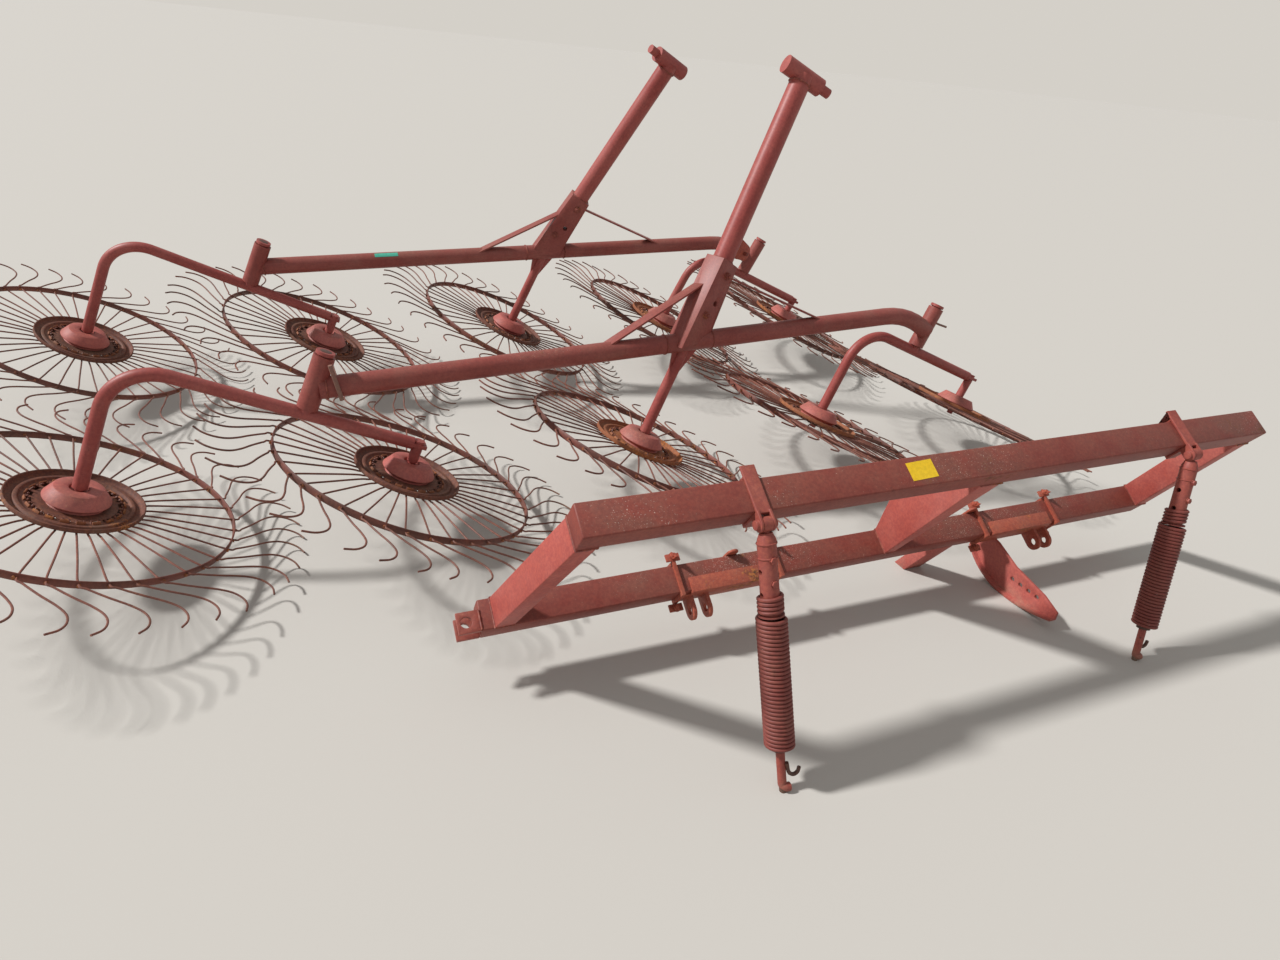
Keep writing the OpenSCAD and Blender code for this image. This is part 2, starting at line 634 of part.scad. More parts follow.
// Spring strut: zero at its strap's bolt, -z down to its foot, cross holes along x
function bolt_at(x) = row_point([x, -bolt_front, -bolt_down]);
left_foot = [left_foot_x, left_foot_y, 0];
right_foot = [right_foot_x, right_foot_y, 0];
coil_len = coil_turns * coil_wire_d;
coil_gap = 0.3;
coil_top = spring_tube_len + coil_gap;
seat_d = 46;
seat_t = 8;
eye_d = 42;
eye_gap = 1;
eye_w = strap_w - 2 * strap_t - 2 * eye_gap;
cross_hole_d = 16;
cross_holes = [130, 196];
module spring_frame(x, foot) {
  v = bolt_at(x) - foot;
  row() translate(bolt_at(x)) rotate([0, acos(v[2] / norm(v)), atan2(v[1], v[0])])
    rotate([0, 0, -atan2(v[1], v[0])]) children();
}
module at_bolt(x) headstock() translate([x, -bolt_front, -bolt_down]) children();
module spring_tube(x, foot) color(faded_red) difference() {
  union() {
    spring_frame(x, foot) {
      translate([0, 0, -spring_tube_len]) rod(spring_tube_d, spring_tube_len - neck_len);
      translate([0, 0, -neck_len - 1]) rod(neck_d, neck_len + 1);
    }
    at_bolt(x) translate([-eye_w / 2, 0, 0]) rod_x(eye_d, eye_w);
  }
  at_bolt(x) translate([-eye_w, 0, 0]) rod_x(strap_bolt_d + 1, 2 * eye_w);
  spring_frame(x, foot) {
    translate([0, 0, -spring_tube_len - 1]) rod(foot_rod_d + 1, spring_tube_len - neck_len - 10);
    for (z = cross_holes) translate([-spring_tube_d, 0, -z]) rod_x(cross_hole_d, 2 * spring_tube_d);
  }
}
function turn_edge(i) = [for (a = [-75 : 30 : 75])
  [(coil_d - coil_wire_d) / 2 + coil_wire_d / 2 * cos(a), coil_wire_d * (i + 0.5 + sin(a) / 2)]];
coil_outline = concat([[foot_rod_d / 2 + 1, 0]], [for (i = [0 : coil_turns - 1]) each turn_edge(i)],
  [[foot_rod_d / 2 + 1, coil_len]]);
module spring_coil(x, foot) color(rusty_red) spring_frame(x, foot) translate([0, 0, -coil_top - coil_len])
  rotate_extrude() polygon(coil_outline);
// Length of a foot rod before it is cut off at the floor, and its play under the tube's shoulder
foot_rod_len = 1000;
rod_play = 20;
module foot_rod(x, foot) color(rusty_red) difference() {
  spring_frame(x, foot) {
    translate([0, 0, -foot_rod_len]) rod(foot_rod_d, foot_rod_len - neck_len - rod_play);
    translate([0, 0, -coil_top - coil_len - coil_gap - seat_t]) rod(seat_d, seat_t);
  }
  under_floor();
}
bolt_head_d = 28;
bolt_head_t = 10;
module strap(x) color(faded_red) headstock() translate([x - strap_w / 2, 0, 0]) difference() {
  union() {
    box([strap_w, box_depth + 2 * strap_t, box_h + 2 * strap_t], [0, -strap_t, -box_h - strap_t]);
    box([strap_w, 30, strap_t], [0, box_depth + strap_t, 0]);
    for (side = [0, strap_w - strap_t]) translate([side, 0, -bolt_down]) {
      translate([0, -bolt_front, 0]) rod_x(eye_d, strap_t);
      box([strap_t, bolt_front, eye_d], [0, -bolt_front, -eye_d / 2]);
    }
    translate([-bolt_head_t, -bolt_front, -bolt_down]) {
      rod_x(strap_bolt_d, strap_w + 2 * bolt_head_t);
      rod_x(bolt_head_d, bolt_head_t);
      translate([strap_w + bolt_head_t, 0, 0]) rod_x(bolt_head_d, bolt_head_t);
    }
  }
  box([strap_w + 2, box_depth, box_h], [-1, 0, -box_h]);
}

top_beam();
lower_beam();
left_strut();
centre_strut();
right_strut();
left_lug();
stand_leg();
left_hitch();
right_hitch();
hole_bar();
strap(spring_left);  // left_strap
strap(spring_right);  // right_strap
spring_tube(spring_left, left_foot);  // left_spring_tube
spring_tube(spring_right, right_foot);  // right_spring_tube
spring_coil(spring_left, left_foot);  // left_spring
spring_coil(spring_right, right_foot);  // right_spring
foot_rod(spring_left, left_foot);  // left_foot_rod
foot_rod(spring_right, right_foot);  // right_foot_rod
beam(NEAR);  // near_beam
socket(NEAR);  // near_socket
mast(NEAR);  // near_mast
braces(NEAR);  // near_braces
centre_spindle(NEAR);  // near_centre_spindle
left_rocker(NEAR);  // near_left_rocker
right_rocker(NEAR);  // near_right_rocker
wheel(NEAR, 1);  // near_wheel_1
wheel(NEAR, 2);  // near_wheel_2
wheel(NEAR, 3);  // near_wheel_3
wheel(NEAR, 4);  // near_wheel_4
wheel(NEAR, 5);  // near_wheel_5
beam(FAR);  // far_beam
socket(FAR);  // far_socket
mast(FAR);  // far_mast
braces(FAR);  // far_braces
centre_spindle(FAR);  // far_centre_spindle
left_rocker(FAR);  // far_left_rocker
right_rocker(FAR);  // far_right_rocker
wheel(FAR, 1);  // far_wheel_1
wheel(FAR, 2);  // far_wheel_2
wheel(FAR, 3);  // far_wheel_3
wheel(FAR, 4);  // far_wheel_4
wheel(FAR, 5);  // far_wheel_5
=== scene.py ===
"""Finish of a mounted finger-wheel hay rake that lies taken down on flat ground.

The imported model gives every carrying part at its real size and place. This script dresses it: wire tines,
pressed pans and rims on the wheels, wound springs, welds, bolts and labels, and worn red paint and rust.
All lengths are metres in the model's own frame.
"""
from __future__ import annotations

import json
import logging
import math
import random
from dataclasses import dataclass, field
from enum import Enum
from typing import Callable, Iterable, Sequence

import bmesh
import bpy
from mathutils import Matrix, Vector

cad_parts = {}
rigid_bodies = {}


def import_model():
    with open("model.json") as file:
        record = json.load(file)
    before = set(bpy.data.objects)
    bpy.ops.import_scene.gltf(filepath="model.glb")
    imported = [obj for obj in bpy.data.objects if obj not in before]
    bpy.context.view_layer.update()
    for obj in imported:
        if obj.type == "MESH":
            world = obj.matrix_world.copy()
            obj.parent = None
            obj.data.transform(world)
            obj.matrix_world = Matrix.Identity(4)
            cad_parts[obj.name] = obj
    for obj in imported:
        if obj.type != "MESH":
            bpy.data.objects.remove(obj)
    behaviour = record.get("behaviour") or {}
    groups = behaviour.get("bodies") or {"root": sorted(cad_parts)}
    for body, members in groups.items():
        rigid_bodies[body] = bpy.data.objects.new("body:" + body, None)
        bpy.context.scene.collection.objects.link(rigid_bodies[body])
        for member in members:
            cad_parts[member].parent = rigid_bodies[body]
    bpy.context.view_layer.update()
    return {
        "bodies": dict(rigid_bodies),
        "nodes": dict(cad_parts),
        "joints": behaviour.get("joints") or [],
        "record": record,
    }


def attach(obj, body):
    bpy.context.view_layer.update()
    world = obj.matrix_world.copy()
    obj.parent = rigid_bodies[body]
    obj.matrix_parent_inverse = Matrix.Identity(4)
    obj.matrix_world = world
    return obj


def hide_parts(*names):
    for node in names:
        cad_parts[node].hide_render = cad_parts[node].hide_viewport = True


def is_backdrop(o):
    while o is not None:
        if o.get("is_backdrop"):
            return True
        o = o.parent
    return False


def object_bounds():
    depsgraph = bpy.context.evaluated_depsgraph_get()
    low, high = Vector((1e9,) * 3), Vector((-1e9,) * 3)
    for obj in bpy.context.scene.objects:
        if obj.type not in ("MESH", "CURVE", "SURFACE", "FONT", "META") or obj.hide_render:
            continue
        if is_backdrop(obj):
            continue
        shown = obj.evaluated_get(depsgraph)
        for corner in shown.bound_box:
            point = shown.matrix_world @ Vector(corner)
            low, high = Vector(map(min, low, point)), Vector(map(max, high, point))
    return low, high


log = logging.getLogger("hay_rake")
ROW_MIDDLE = Vector((-0.035, 0.003, 0.0))
AXLE_LEAN_DEG = 25.0
Object = bpy.types.Object
Socket = bpy.types.NodeSocket
Colour = tuple[float, float, float]
Path = list[Vector]
Outline = Sequence[tuple[float, float]]


def turned(x_deg: float = 0.0, y_deg: float = 0.0, z_deg: float = 0.0) -> Matrix:
    """Turn about x, then y, then z.

    Args:
        x_deg: Angle about x in degrees.
        y_deg: Angle about y in degrees.
        z_deg: Angle about z in degrees.

    Returns:
        The 4 x 4 rotation.
    """
    turn_x = Matrix.Rotation(math.radians(x_deg), 4, "X")
    turn_y = Matrix.Rotation(math.radians(y_deg), 4, "Y")
    turn_z = Matrix.Rotation(math.radians(z_deg), 4, "Z")
    return turn_z @ turn_y @ turn_x


def shift(x: float, y: float, z: float) -> Matrix:
    """Return the shift to a point."""
    return Matrix.Translation((x, y, z))


def fan(count: int) -> list[float]:
    """Return the angles of a full turn's equal steps, in degrees."""
    return [360 * i / count for i in range(count)]


def arc(degrees: Iterable[float], r_x: float, r_y: float | None = None, x: float = 0.0,
        y: float = 0.0) -> Outline:
    """Return points on a round or oval arc.

    Args:
        degrees: Angle of each point.
        r_x: Radius along x.
        r_y: Radius along y, if it differs.
        x: Middle along x.
        y: Middle along y.

    Returns:
        The points.
    """
    high = r_x if r_y is None else r_y
    return [(x + r_x * math.cos(a), y + high * math.sin(a)) for a in map(math.radians, degrees)]


def points(*places: tuple[float, float, float]) -> Path:
    """Return places as a path."""
    return [Vector(place) for place in places]


def linked(name: str, data: bpy.types.ID) -> Object:
    """Make an object of a datablock and link it to the scene."""
    obj = bpy.data.objects.new(name, data)
    bpy.context.scene.collection.objects.link(obj)
    return obj


class Gloss(Enum):
    """How a finish reflects light."""

    CHALKY = 0.78
    WORN = 0.62
    BARE = 0.52


@dataclass(frozen=True)
class Weathering:
    """Share and scale of the marks that sun and rain leave on a finish."""

    rust: float
    fading: float
    dirt: float
    grain: float = 1.0
    bleach: float = 0.0


@dataclass(frozen=True)
class Finish:
    """One finish: a base colour that fades, rusts and gathers dirt."""

    name: str
    base: Colour
    faded: Colour
    rust: Colour
    deep_rust: Colour
    weathering: Weathering
    gloss: Gloss = Gloss.WORN
    bump: float = 0.25


class GraphMaker:
    """Short way to add and link the nodes of one tree."""

    def __init__(self, tree: bpy.types.NodeTree) -> None:
        """Keep the tree that the nodes go into."""
        self.tree = tree

    def add(self, kind: str, inputs: dict[str | int, object] | None = None,
            **settings: object) -> bpy.types.Node:
        """Add a node.

        Args:
            kind: Blender's name of the node type.
            inputs: Socket or value of each input, by name or number.
            **settings: Properties of the node.

        Returns:
            The new node.
        """
        node = self.tree.nodes.new(kind)
        for key, value in settings.items():
            setattr(node, key, value)
        for key, item in (inputs or {}).items():
            if isinstance(item, Socket):
                self.tree.links.new(item, node.inputs[key])
            else:
                node.inputs[key].default_value = item
        return node

    def noise(self, place: Socket, scale: float, detail: float, rough: float) -> Socket:
        """Add a noise texture.

        Args:
            place: Coordinates to read.
            scale: Spots to a metre.
            detail: Octaves.
            rough: Share of the fine octaves.

        Returns:
            The noise value.
        """
        inputs = {"Vector": place, "Scale": scale, "Detail": detail, "Roughness": rough}
        return self.add("ShaderNodeTexNoise", inputs).outputs["Fac"]

    def band(self, value: Socket, low: float, high: float) -> Socket:
        """Spread a range of a value over 0 to 1, smoothly.

        Args:
            value: Value to read.
            low: Value that becomes 0.
            high: Value that becomes 1.

        Returns:
            The spread value.
        """
        inputs = {"Value": value, "From Min": low, "From Max": high}
        return self.add("ShaderNodeMapRange", inputs, interpolation_type="SMOOTHSTEP").outputs["Result"]

    def height(self, vector: Socket) -> Socket:
        """Return the z part of a vector."""
        return self.add("ShaderNodeSeparateXYZ", {"Vector": vector}).outputs["Z"]

    def maths(self, kind: str, *items: Socket | float) -> Socket:
        """Combine values from left to right, each result kept within 0 and 1.

        Args:
            kind: Operation.
            *items: Sockets or numbers.

        Returns:
            The result.
        """
        result, *rest = items
        for item in rest:
            inputs = {0: result, 1: item}
            result = self.add("ShaderNodeMath", inputs, operation=kind, use_clamp=True).outputs[0]
        return result

    def times(self, *items: Socket | float) -> Socket:
        """Multiply values."""
        return self.maths("MULTIPLY", *items)

    def plus(self, *items: Socket | float) -> Socket:
        """Add values."""
        return self.maths("ADD", *items)

    def mix(self, share: Socket, a: Socket, b: Socket | Colour) -> Socket:
        """Mix two colours.

        Args:
            share: Share of the second colour.
            a: First colour.
            b: Second colour.

        Returns:
            The mixed colour.
        """
        second = b if isinstance(b, Socket) else (*b, 1.0)
        return self.add("ShaderNodeMix", {0: share, 6: a, 7: second}, data_type="RGBA").outputs[2]


SUN_BROWN = (0.200, 0.066, 0.049)
PALE_FLECK = (0.60, 0.47, 0.40)
SOIL = (0.30, 0.235, 0.16)
RUN_STRETCH = (38.0, 38.0, 4.0)
SPLASH_HEIGHT = 0.07
WHITE = (1.0, 1.0, 1.0, 1.0)


class Weather:
    """Node group that ages a colour: fading, speckled rust, rust runs and dirt."""

    def __init__(self) -> None:
        """Build the group once."""
        self.tree = bpy.data.node_groups.new("weather", "ShaderNodeTree")
        for way, kind, names in (("INPUT", "Color", ("Paint", "Faded", "Rust", "Deep rust")),
                                 ("INPUT", "Float", ("Rust amount", "Fading", "Dirt", "Grain", "Bleach")),
                                 ("OUTPUT", "Color", ("Color",)),
                                 ("OUTPUT", "Float", ("Roughness", "Height"))):
            for name in names:
                self.tree.interface.new_socket(name=name, in_out=way, socket_type="NodeSocket" + kind)
        self._fill(GraphMaker(self.tree))

    def _fill(self, g: GraphMaker) -> None:
        """Add the group's nodes."""
        read = g.add("NodeGroupInput").outputs
        place = g.add("ShaderNodeTexCoord").outputs["Object"]
        upward = g.band(g.height(g.add("ShaderNodeNewGeometry").outputs["Normal"]), 0.35, 0.8)
        near_ground = g.band(g.height(place), SPLASH_HEIGHT, 0.0)
        large = g.noise(place, 2.3, 3.0, 0.55)
        middle = g.noise(place, 11.0, 5.0, 0.6)
        fine = g.noise(place, 95.0, 4.0, 0.7)
        speck = g.noise(place, 260.0, 2.0, 0.6)
        stretched = g.add("ShaderNodeMapping", {"Vector": place, "Scale": RUN_STRETCH}).outputs["Vector"]
        runs = g.noise(stretched, 1.0, 4.0, 0.6)
        fade = g.times(g.band(g.plus(g.times(large, 0.6), g.times(middle, 0.4)), 0.36, 0.64), read["Fading"])
        paint = g.mix(fade, read["Paint"], read["Faded"])
        shaded = g.plus(0.35, g.times(g.band(large, 0.42, 0.58), 0.65))
        bleach = g.times(upward, read["Bleach"], shaded)
        paint = g.mix(g.times(bleach, g.band(middle, 0.3, 0.6)), paint, SUN_BROWN)
        threshold = g.maths("SUBTRACT", 0.86, g.times(read["Rust amount"], 0.5))
        patch = g.plus(g.times(middle, 0.55), g.times(large, 0.35), g.times(fine, 0.18))
        patch = g.band(g.maths("SUBTRACT", patch, threshold), -0.02, 0.07)
        dots = g.band(g.plus(g.times(speck, 0.7), g.times(middle, 0.3)), 0.59, 0.66)
        dots = g.times(dots, g.plus(read["Rust amount"], 0.15))
        streak = g.times(g.band(runs, 0.58, 0.74), g.times(read["Rust amount"], 0.7))
        rusted = g.maths("MAXIMUM", patch, dots, streak)
        rust = g.mix(g.band(fine, 0.4, 0.62), read["Deep rust"], read["Rust"])
        worn = g.mix(rusted, paint, rust)
        fleck = g.band(g.plus(g.times(speck, 0.75), g.times(large, 0.25)), 0.625, 0.68)
        worn = g.mix(g.times(fleck, bleach), worn, PALE_FLECK)
        soil = g.times(g.band(g.noise(place, 6.0, 6.0, 0.7), 0.45, 0.75), read["Dirt"])
        splash = g.times(near_ground, g.band(middle, 0.36, 0.62), 0.4)
        dirty = g.mix(g.maths("MAXIMUM", soil, splash), worn, SOIL)
        shade = g.plus(0.84, g.times(g.band(fine, 0.3, 0.7), 0.16))
        grey = g.add("ShaderNodeCombineColor", {"Red": shade, "Green": shade, "Blue": shade}).outputs["Color"]
        toned = g.add("ShaderNodeMix", {0: 1.0, 6: dirty, 7: grey}, data_type="RGBA", blend_type="MULTIPLY")
        bumps = g.plus(g.times(speck, rusted, 0.7), g.times(fine, 0.22))
        g.add("NodeGroupOutput", {"Color": toned.outputs[2], "Roughness": g.plus(0.52, g.times(rusted, 0.32)),
                                  "Height": g.times(bumps, read["Grain"])})


class PaintShop:
    """Makes and keeps the materials."""

    def __init__(self, weather: Weather) -> None:
        """Keep the shared ageing group."""
        self.weather = weather
        self.made: dict[str, bpy.types.Material] = {}

    def get(self, finish: Finish) -> bpy.types.Material:
        """Return the material of a finish, made at the first call.

        Args:
            finish: The finish.

        Returns:
            Its material.
        """
        if finish.name in self.made:
            return self.made[finish.name]
        material = bpy.data.materials.new(finish.name)
        material.use_nodes = True
        material.node_tree.nodes.clear()
        g = GraphMaker(material.node_tree)
        marks = finish.weathering
        aged = g.add("ShaderNodeGroup", {
            "Paint": (*finish.base, 1.0), "Faded": (*finish.faded, 1.0), "Rust": (*finish.rust, 1.0),
            "Deep rust": (*finish.deep_rust, 1.0), "Rust amount": marks.rust, "Fading": marks.fading,
            "Dirt": marks.dirt, "Grain": marks.grain, "Bleach": marks.bleach},
            node_tree=self.weather.tree).outputs
        bump = g.add("ShaderNodeBump", {"Height": aged["Height"], "Strength": finish.bump, "Distance": 0.002})
        surface = g.add("ShaderNodeBsdfPrincipled", {
            "Base Color": aged["Color"], "Specular IOR Level": 0.35, "Normal": bump.outputs["Normal"],
            "Roughness": g.times(aged["Roughness"], finish.gloss.value / Gloss.WORN.value)})
        g.add("ShaderNodeOutputMaterial", {"Surface": surface.outputs["BSDF"]})
        self.made[finish.name] = material
        return material


RUST = (0.21, 0.080, 0.036)
DEEP_RUST = (0.070, 0.034, 0.023)
ORANGE_RUST = (0.46, 0.165, 0.05)
GANG_RED = Finish("gang_red", (0.27, 0.052, 0.044), (0.37, 0.100, 0.084), RUST, DEEP_RUST,
                  Weathering(0.40, 0.8, 0.12, 1.2, 0.5), Gloss.BARE)
TUBE_RED = Finish("tube_red", (0.33, 0.056, 0.050), (0.44, 0.112, 0.098), RUST, DEEP_RUST,
                  Weathering(0.36, 0.85, 0.10, 1.2, 0.15), Gloss.BARE)
FRAME_RED = Finish("frame_red", (0.40, 0.070, 0.062), (0.52, 0.148, 0.130), ORANGE_RUST, RUST,
                   Weathering(0.24, 0.7, 0.06, 1.1))
STRUT_RED = Finish("strut_red", (0.27, 0.046, 0.040), (0.37, 0.095, 0.080), ORANGE_RUST, RUST,
                   Weathering(0.32, 0.7, 0.10, 1.2, 0.2))
BEAM_RED = Finish("beam_red", (0.215, 0.036, 0.028), (0.31, 0.070, 0.050), RUST, DEEP_RUST,
                  Weathering(0.44, 0.8, 0.08, 1.5, 0.85))
BRACKET_RED = Finish("bracket_red", (0.36, 0.062, 0.040), (0.45, 0.115, 0.072), ORANGE_RUST, DEEP_RUST,
                     Weathering(0.45, 0.6, 0.2, 1.4, 0.2))
CAP_RED = Finish("cap_red", (0.46, 0.105, 0.095), (0.57, 0.190, 0.170), ORANGE_RUST, RUST,
                 Weathering(0.34, 0.75, 0.10, 1.2, 0.55))
SPRING_RED = Finish("spring_red", (0.20, 0.040, 0.034), (0.29, 0.078, 0.062), RUST, DEEP_RUST,
                    Weathering(0.45, 0.6, 0.1, 1.3))
PAN_RUST = Finish("pan_rust", (0.120, 0.042, 0.031), (0.19, 0.066, 0.044), ORANGE_RUST, DEEP_RUST,
                  Weathering(0.42, 0.6, 0.25, 1.6), Gloss.CHALKY)
PAN_ORANGE = Finish("pan_orange", (0.22, 0.072, 0.034), (0.33, 0.110, 0.045), ORANGE_RUST, RUST,
                    Weathering(0.55, 0.8, 0.2, 1.6), Gloss.CHALKY)
WIRE_RUST = Finish("wire_rust", (0.110, 0.042, 0.032), (0.25, 0.088, 0.066), ORANGE_RUST, DEEP_RUST,
                   Weathering(0.35, 0.8, 0.05, 1.2))
RIM_RUST = Finish("rim_rust", (0.090, 0.034, 0.026), (0.23, 0.062, 0.045), RUST, DEEP_RUST,
                  Weathering(0.48, 0.85, 0.08, 1.4))
DARK_RUST = Finish("dark_rust", (0.085, 0.036, 0.027), (0.13, 0.056, 0.040), RUST, DEEP_RUST,
                   Weathering(0.6, 0.5, 0.1, 1.4), Gloss.BARE)
PIN_RUST = Finish("pin_rust", (0.26, 0.135, 0.105), (0.34, 0.20, 0.16), RUST, DEEP_RUST,
                  Weathering(0.35, 0.6, 0.1, 1.4))
SEAM_RED = Finish("seam_red", (0.22, 0.045, 0.036), (0.33, 0.088, 0.068), ORANGE_RUST, DEEP_RUST,
                  Weathering(0.5, 0.6, 0.1, 1.6))
YELLOW_LABEL = Finish("yellow_label", (0.84, 0.52, 0.010), (0.88, 0.60, 0.03), (0.7, 0.48, 0.03),
                      (0.6, 0.4, 0.03), Weathering(0.0, 0.5, 0.02, 0.1), bump=0.02)
GREEN_LABEL = Finish("green_label", (0.05, 0.42, 0.30), (0.10, 0.52, 0.40), (0.2, 0.4, 0.3),
                     (0.1, 0.3, 0.2), Weathering(0.0, 0.5, 0.05, 0.1), bump=0.02)
SLOT_FINISH = {"faded_red": GANG_RED, "rusty_red": BEAM_RED, "bracket_red": BRACKET_RED,
               "spring_red": SPRING_RED, "wheel_rust": PAN_RUST, "rust": DARK_RUST}
GANG_TUBES = ("mast", "left_rocker", "right_rocker", "centre_spindle")


class Shape:
    """Mesh under construction in one sub-assembly's own frame."""

    LUMPS = (0.78, 1.15)
    LUMP_STEP = 1.1
    SAME_POINT = 1e-6

    def __init__(self) -> None:
        """Start empty."""
        self.mesh = bmesh.new()

    def revolve(self, profile: Outline, steps: int, gap: Callable[[int, int], bool] | None = None) -> None:
        """Turn an outline about z.

        Args:
            profile: Radius and height of each point.
            steps: Faces round the axis.
            gap: Says, for a band and a step, whether that face is left out.
        """
        rings = [[self.mesh.verts.new((x, y, height)) for x, y in arc(fan(steps), radius)]
                 for radius, height in profile]
        for band in range(len(rings) - 1):
            for i in range(steps):
                if gap and gap(band, i):
                    continue
                j = (i + 1) % steps
                self.mesh.faces.new((rings[band][i], rings[band][j], rings[band + 1][j], rings[band + 1][i]))

    def tube(self, path: Path, radius: Callable[[float], float] | float, sides: int = 10,
             closed: bool = False) -> None:
        """Sweep a round section along a path.

        Args:
            path: Points of the centre line.
            radius: Radius, or a function of the share of the length.
            sides: Faces round the section.
            closed: Join the last point to the first.
        """
        count = len(path)
        side = Vector((0, 0, 1)) if abs((path[1] - path[0]).normalized().z) < 0.9 else Vector((1, 0, 0))
        rings = []
        for i, point in enumerate(path):
            ahead = path[(i + 1) % count] if closed or i < count - 1 else point
            behind = path[i - 1] if closed or i > 0 else point
            along = (ahead - behind).normalized()
            side = (side - along * side.dot(along)).normalized()
            other = along.cross(side)
            r = radius(i / (count - 1)) if callable(radius) else radius
            rings.append([self.mesh.verts.new(point + (side * x + other * y) * r)
                          for x, y in arc(fan(sides), 1.0)])
        for i in range(count if closed else count - 1):
            a, b = rings[i], rings[(i + 1) % count]
            for k in range(sides):
                m = (k + 1) % sides
                self.mesh.faces.new((a[k], a[m], b[m], b[k]))
        if not closed:
            self.mesh.faces.new(list(reversed(rings[0])))
            self.mesh.faces.new(rings[-1])

    def prism(self, outline: Outline, low: float, high: float, place: Matrix) -> None:
        """Extrude an outline along z, then place it.

        Args:
            outline: Corners, anticlockwise.
            low: Height of the lower face.
            high: Height of the upper face.
            place: Where the prism goes.
        """
        bottom = [self.mesh.verts.new(place @ Vector((x, y, low))) for x, y in outline]
        top = [self.mesh.verts.new(place @ Vector((x, y, high))) for x, y in outline]
        self.mesh.faces.new(list(reversed(bottom)))
        self.mesh.faces.new(top)
        for i in range(len(outline)):
            j = (i + 1) % len(outline)
            self.mesh.faces.new((bottom[i], bottom[j], top[j], top[i]))

    def block(self, size: tuple[float, float, float], place: Matrix) -> None:
        """Add a box centred on the placed origin."""
        x, y, z = (s / 2 for s in size)
        self.prism([(-x, -y), (x, -y), (x, y), (-x, y)], -z, z, place)

    def bolt(self, across: float, head: float, place: Matrix, stub: float = 0.0) -> None:
        """Add a hexagon head on a washer, with an optional thread end on top.

        Args:
            across: Width over the corners.
            head: Height of the head.
            place: Where the seat's middle goes, z outwards.
            stub: Length of the thread that stands out of the head.
        """
        washer, thread, seat = 0.62 * across, 0.28 * across, 0.18 * head
        self.prism(arc(fan(16), washer), 0, seat, place)
        self.prism(arc(fan(6), across / 2), seat, head, place)
        if stub:
            self.prism(arc(fan(16), thread), head, head + stub, place)

    def seam(self, corners: Path, radius: float, rng: random.Random, closed: bool = False) -> None:
        """Lay a lumpy weld bead along a line of corners.

        Args:
            corners: Corners of the line.
            radius: Mean radius of the bead.
            rng: Source of the lumps.
            closed: Run back to the first corner.
        """
        ends = corners + corners[:1] if closed else corners
        for a, b in zip(ends, ends[1:]):
            steps = max(2, int((b - a).length / (radius * self.LUMP_STEP)))
            lumps = [radius * rng.uniform(*self.LUMPS) for _ in range(steps + 1)]
            self.tube([a.lerp(b, i / steps) for i in range(steps + 1)], lambda t: lumps[round(t * steps)], 6)

    def ring_seam(self, place: Matrix, ring_r: float, radius: float, rng: random.Random) -> None:
        """Lay a weld bead round a tube.

        Args:
            place: Middle of the ring, z along the tube.
            ring_r: Radius of the tube.
            radius: Mean radius of the bead.
            rng: Source of the lumps.
        """
        count = max(16, int(2 * math.pi * ring_r / (radius * self.LUMP_STEP)))
        lumps = [radius * rng.uniform(*self.LUMPS) for _ in range(count + 1)]
        path = [place @ Vector((x, y, 0)) for x, y in arc(fan(count), ring_r)]
        self.tube(path, lambda t: lumps[round(t * (count - 1))], 6, closed=True)

    def weld(self) -> None:
        """Merge points that lie in one place."""
        bmesh.ops.remove_doubles(self.mesh, verts=self.mesh.verts, dist=self.SAME_POINT)

    def finish(self, shop: Workshop, name: str, look: Finish, place: Matrix | None = None, bevel: float = 0.0,
               wall: float = 0.0, smooth_deg: float = 40.0) -> Object:
        """Close the mesh and make its object.

        Args:
            shop: Materials.
            name: Name of the piece.
            look: Its finish.
            place: Sub-assembly's place in the model's frame, if it isn't there yet.
            bevel: Width of the rounded edges.
            wall: Thickness that a sheet gets.
            smooth_deg: Angle over which an edge stays sharp.

        Returns:
            The object, its place in its mesh.
        """
        self.weld()
        bmesh.ops.recalc_face_normals(self.mesh, faces=self.mesh.faces)
        data = bpy.data.meshes.new(name)
        self.mesh.to_mesh(data)
        self.mesh.free()
        obj = linked(name, data)
        data.materials.append(shop.paint.get(look))
        if wall:
            solid = obj.modifiers.new("wall", "SOLIDIFY")
            solid.thickness = wall
            solid.offset = -1.0
        if bevel:
            soft = obj.modifiers.new("edges", "BEVEL")
            soft.width = bevel
            soft.segments = 2
            soft.limit_method = "ANGLE"
            soft.angle_limit = math.radians(50)
        return settle(obj, place, smooth_deg)


def settle(obj: Object, place: Matrix | None = None, smooth_deg: float = 40.0) -> Object:
    """Apply an object's modifiers and its place to its mesh.

    Args:
        obj: The object.
        place: Sub-assembly's place in the model's frame, if it isn't there yet.
        smooth_deg: Angle over which an edge stays sharp.

    Returns:
        The same object, with no modifiers.
    """
    if obj.modifiers:
        graph = bpy.context.evaluated_depsgraph_get()
        made = obj.evaluated_get(graph)
        data = bpy.data.meshes.new_from_object(made, preserve_all_data_layers=True, depsgraph=graph)
        obj.modifiers.clear()
        obj.data = data
    if place is not None:
        obj.data.transform(place)
        if place.determinant() < 0:
            obj.data.flip_normals()
    obj.data.shade_smooth()
    obj.data.set_sharp_from_angle(angle=math.radians(smooth_deg))
    return obj


def joined(name: str, parts: Iterable[Object]) -> Object:
    """Join finished pieces into one.

    Args:
        name: Name of the piece.
        parts: Objects that each carry their own material.

    Returns:
        The joined object.
    """
    items = list(parts)
    first = items[0]
    with bpy.context.temp_override(active_object=first, selected_objects=items,
                                   selected_editable_objects=items):
        bpy.ops.object.join()
    first.name = name
    first.data.name = name
    return first


